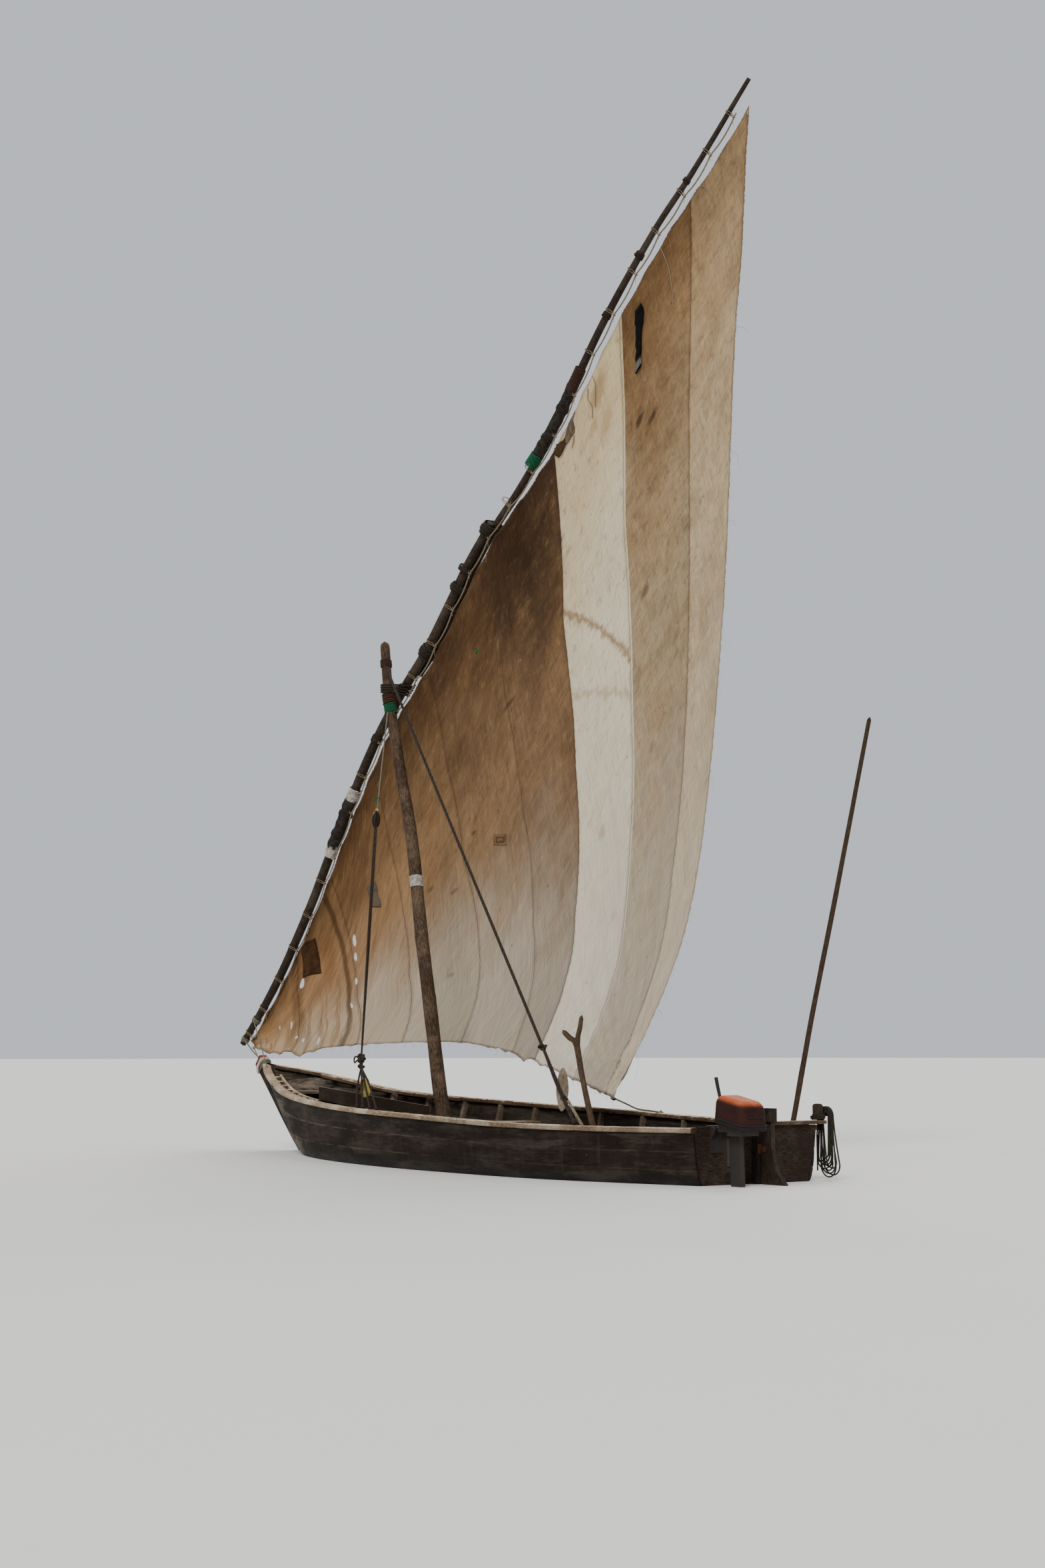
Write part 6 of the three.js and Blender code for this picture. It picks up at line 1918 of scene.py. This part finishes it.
def crossLine(name, low, high, radius, look, sag=0.02, turns=3):
    # a line from a place on the hull to one on the yard or sail, with a knot at each end
    low, high = Vector(low), Vector(high)
    bm = bmesh.new()
    middle = low.lerp(high, 0.5) + vec(0, 0, -sag)
    addRope(bm, [low, low.lerp(middle, 0.5), middle, middle.lerp(high, 0.5), high], radius, steps=60)
    for spot in (low, high):
        addKnot(bm, spot, radius * 2.6, radius * 0.9, turns, spot.x)
    made = meshObject(name, bm)
    dress(made, look)
    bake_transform(made)


heel = yardLine.at(0.006)
crossLine("tackLine", (4.87, 0.02, 1.13), heel + vec(-0.03, 0.045, 0), 0.009, "greyRope")
crossLine("tackLineAft", railSpot(4420, 1), yardLine.at(0.032) + vec(0, 0.05, 0), 0.007, "greyRope", 0)
crossLine("footLine", (4.84, 0.045, 1.105), corners["low"] + vec(0, 0.012, 0), 0.007, "paleRope", 0.01)
crossLine("sheetRope", railSpot(-1640, -1), corners["clew"] + vec(0, 0, 0.02), 0.01, "greyRope", 0.04)
bm = bmesh.new()
for share in (0.006, 0.032):
    turnsRound(bm, yardLine, share, 0.07, lambda at: sparRadius(at), 0.008, seed=share * 90)
yardCord("heelTurns", bm, "greyRope")
print("bow lines made")

# Forked crutch, steering pole and paddle: bars swept through their bends

crutchBars = [
    [(-3640, 1000, 337, 30), (-3615, 1050, 560, 29), (-3520, 1085, 960, 28), (-3446, 1100, 1297, 31)],
    [(-3455, 1098, 1262, 27), (-3402, 1106, 1352, 26), (-3340, 1110, 1375, 25), (-3234, 1120, 1454, 22)],
    [(-3442, 1099, 1270, 28), (-3452, 1094, 1400, 25), (-3471, 1090, 1449, 25), (-3497, 1080, 1601, 21)]]
poleRows = [(-4672, -545, 362, 27), (-4674, -600, 564, 27), (-4678, -860, 1560, 26),
            (-4684, -1150, 2580, 25.5), (-4698, -1720, 4645, 22)]
paddleRows = [(-3490, 930, 342, 17), (-3300, 955, 555, 17), (-3065, 985, 840, 13)]
paddleBlade = {"half": (0.09, 0.0085, 0.215), "turn": -0.06, "place": (-3.048, 0.985, 0.87), "ridge": 0.006}

bm = bmesh.new()
for k, rows in enumerate(crutchBars):
    barFrom(rows, seed=30 + k * 5, knots=0.2, lump=0.06, closeTop=0.03 if k else 0, bm=bm)
newPiece("forkedCrutch", bm, "hull", "branch", ("crutch",))
newPiece("steeringPole", barFrom(poleRows, seed=50, knots=0.12, lump=0.03, closeTop=0.004), "hull",
         "pole", ("pole",))

clearSelection()
bpy.ops.mesh.primitive_uv_sphere_add(segments=36, ring_count=24, radius=1)
blade = sized("shortPaddle", paddleBlade["half"])
for v in blade.data.vertices:   # square the shoulders and raise a ridge down the middle
    across = v.co.x / paddleBlade["half"][0]
    v.co.x *= 1 + 0.16 * (1 - abs(v.co.z) / paddleBlade["half"][2])
    v.co.y += (copysign(paddleBlade["ridge"], v.co.y) * exp(-(across / 0.16) ** 2)
               * ease(0.2, -0.2, v.co.z) if abs(v.co.y) > 1e-5 else 0)
    v.co = vec(v.co.x * cos(paddleBlade["turn"]) + v.co.z * sin(paddleBlade["turn"]), v.co.y,
                   v.co.z * cos(paddleBlade["turn"])
                   - v.co.x * sin(paddleBlade["turn"])) + Vector(paddleBlade["place"])
joinPieces(meshObject("paddleShaft", barFrom(paddleRows, seed=60, knots=0.05, lump=0.02)), blade)
settle(blade, "hull", "paddle", ("paddle",), smooth=60)
print("loose gear made")

# Motor hood: orange-red paint with a painted sunlit top and painted shade on its sides, with a rubber rim
# and three vents

hoodForm = {"aft": -5.335, "fore": -4.905, "half": 0.172, "low": 0.5903, "tall": 0.268, "fall": 0.19,
            "y": 0.47,
            "corner": 0.08, "shoulder": 0.075, "foot": 0.016, "draft": 0.1, "crown": 0.012,
            "rim": [(0.052, 0.0055), (0.06, 0.0035)]}   # beads of the rim: height, radius
vents = {"count": 3, "aft": -5.3345, "apart": 0.058, "z": 0.64, "size": (0.008, 0.044, 0.014),
         "edge": 0.003}


def hoodMaterial():
    spot, flat = startMaterial("motor hood with painted sun and shade", Coat_Roughness=0.3)
    parts = addNode("SeparateXYZ", {0: spot})
    lean = (parts[0] - hoodForm["fore"]) * hoodForm["fall"]
    high = parts[2] - lean - hoodForm["low"]
    wander = clouds(spot, 14, 4, 0.6) * 0.012
    # upward faces above the shoulder are the orange paint painted as in sun; the sides get near-black
    # red-brown as painted shade
    shoulder = window(high + wander, 0.205, 0.262)
    top = shoulder * window(axis(pen["place"]["Normal"], 2), 0.25, 0.8)
    paintedSunlitTop = stained(spot, rgb(164, 78, 42), (192, 112, 72), 7, 0.6, 0.5)
    paintedShadedSides = stained(spot, rgb(46, 21, 16), (28, 16, 13), 9, 0.8, 0.55)
    coat(None, tint(top, paintedShadedSides["Color"], paintedSunlitTop["Color"]))
    scuffs = clouds(stretch(spot, (2, 2, 9)), 18, 5, 0.7)
    coat(window(scuffs, 0.62, 0.74) * 0.3, 112, 84, 66)
    low = below(high, 0.045, 0.055)
    coat(low * 0.8, 30, 26, 24)
    return complete(clouds(spot, 150, 3, 0.6), 0.0005, Roughness=ranged(scuffs, 0.48, 0.85))


materials["hoodPaintSunAndShade"] = hoodMaterial()


def makeHood():
    # a box rounded in plan, its shoulders rounded over, drawn in towards the top and sheared to fall aft
    f = hoodForm
    made = addCube("motorHood", ((f["aft"] + f["fore"]) / 2, f["y"], f["low"] + f["tall"] / 2),
                   (f["fore"] - f["aft"], 2 * f["half"], f["tall"]))
    bpy.ops.object.mode_set(mode="EDIT")
    bpy.ops.mesh.select_mode(type="EDGE")
    top = f["low"] + f["tall"]
    for offset, segments, picks in (
            (f["corner"], 8, lambda a, b: abs(a.z - b.z) > 0.1),
            (f["shoulder"], 9, lambda a, b: min(a.z, b.z) > top - 0.001),
            (f["foot"], 4, lambda a, b: max(a.z, b.z) < f["low"] + 0.001)):
        pickEdges(made, picks)
        bpy.ops.mesh.bevel(offset=offset, segments=segments, affect="EDGES")
    closeMesh()
    middle = vec((f["aft"] + f["fore"]) / 2, f["y"])
    for v in made.data.vertices:
        high = (v.co.z - f["low"]) / f["tall"]
        narrow = 1 - f["draft"] * high ** 1.5
        v.co.x, v.co.y = middle.x + (v.co.x - middle.x) * narrow, middle.y + (v.co.y - middle.y) * narrow
        v.co.z -= f["crown"] * ((v.co.y - middle.y) / f["half"]) ** 2 * high
        v.co.z += f["fall"] * (v.co.x - f["fore"])
    return settle(made, "motor_steer", "hoodPaintSunAndShade", ("motor_cowl",), smooth=60)


makeHood()


def hoodOutline(out, up, steps=12):
    # the hood's plan outline at a height above its lower edge, as a closed list of places
    f = hoodForm
    half = f["half"] + out
    fore, aft = f["fore"] + out, f["aft"] - out
    rows = [(aft + 0.07, -half), (aft + 0.16, -half), (fore - 0.15, -half)]
    p = [(fore - 0.15, -half), (fore - 0.06, -half), (fore, -half + 0.07), (fore, 0)]
    for i in range(1, steps + 1):
        t = i / steps
        w = ((1 - t) ** 3, 3 * t * (1 - t) ** 2, 3 * t * t * (1 - t), t ** 3)
        rows.append(tuple(sum(w[k] * p[k][c] for k in range(4)) for c in (0, 1)))
    rows += [(x, -y) for x, y in reversed(rows[:-1])]
    rows += [(aft + 0.03, half - 0.015), (aft + 0.006, half - 0.04), (aft, half - 0.08), (aft, 0),
             (aft, -half + 0.08),
             (aft + 0.006, -half + 0.04), (aft + 0.03, -half + 0.015), rows[0]]
    return [vec(x, f["y"] + y, f["low"] + up + f["fall"] * (x - f["fore"])) for x, y in rows]


bm = bmesh.new()
for up, radius in hoodForm["rim"]:
    line = SmoothLine(hoodOutline(0.001, up), 400)
    sweep(bm, line, lambda share, angle: radius, 8, 0.01, capped=False)
newPiece("hoodRim", bm, "motor_steer", "grip")
for k in range(vents["count"]):
    made = addCube("hoodVent", (vents["aft"], hoodForm["y"] + vents["apart"] * (k - 1), vents["z"]),
                   vents["size"])
    roundEdges(vents["edge"], 3)
    settle(made, "motor_steer", "grip")
print("motor finished")

# Floor, light and sky: the floor lies at the waterline and leaves the inside of the hull open


def waterSpot(u):
    # where a frame line crosses the waterline, half way into the planks
    low, high = 0, 3
    for _ in range(30):
        middle = (low + high) / 2
        low, high = (middle, high) if hullSpot(u, middle, 1).z < 0 else (low, middle)
    spot = hullSpot(u, low, 1)
    return vec(min(max(spot.x, -4.785), 3.62), max(spot.y - 0.012, 0.006), 0)


studio = {
    "half": 300, "pale": (218, 218, 216), "grey": (212, 212, 210), "roughness": 0.9,
    "sky": (0.8, 0.84, 0.9, 1), "skyPower": 0.8, "sunlight": (1, 0.955, 0.89),
    "suns": [   # name, place that it shines from, softness in degrees, power
        ("key", (-12, 15, 15), 22, 2.7),
        ("back", (14, -16, 18), 40, 1.9),
    ],
}


def makeStudio():
    bm = bmesh.new()
    port = [waterSpot(k / 60) for k in range(61)]
    inside = port + [vec(p.x, -p.y, 0) for p in reversed(port)]
    outside = [vec(x, y, 0) * studio["half"] for x, y in ((-1, -1), (1, -1), (1, 1), (-1, 1))]
    edges = []
    for ring in (inside, outside):
        verts = [bm.verts.new(p) for p in ring]
        edges += [bm.edges.new((a, b)) for a, b in zip(verts, verts[1:] + verts[:1])]
    bmesh.ops.triangle_fill(bm, edges=edges, use_beauty=True)
    for face in bm.faces:
        if face.normal.z < 0:
            face.normal_flip()
    floor = meshObject("floor", bm)
    spot, flat = startMaterial("pale floor", Roughness=studio["roughness"])
    soft = clouds(spot, 0.4, 2, 0.5)
    setInputs(pen["tree"].nodes["Principled BSDF"],
              {"Base Color": tint(soft, rgb(*studio["grey"]), rgb(*studio["pale"]))})
    floor.data.materials.append(pen["material"])
    world = bpy.data.worlds.new("studio")
    bpy.context.scene.world = world
    world.use_nodes = True
    sky = world.node_tree.nodes["Background"].inputs
    sky[0].default_value, sky[1].default_value = studio["sky"], studio["skyPower"]
    for name, place, soft, power in studio["suns"]:
        data = bpy.data.lights.new(name, "SUN")
        data.angle, data.energy, data.color = radians(soft), power, studio["sunlight"]
        lamp = addObject(name, data)
        lamp.location = place
        lamp.rotation_euler = (-Vector(place)).to_track_quat("-Z", "Y").to_euler()


makeStudio()
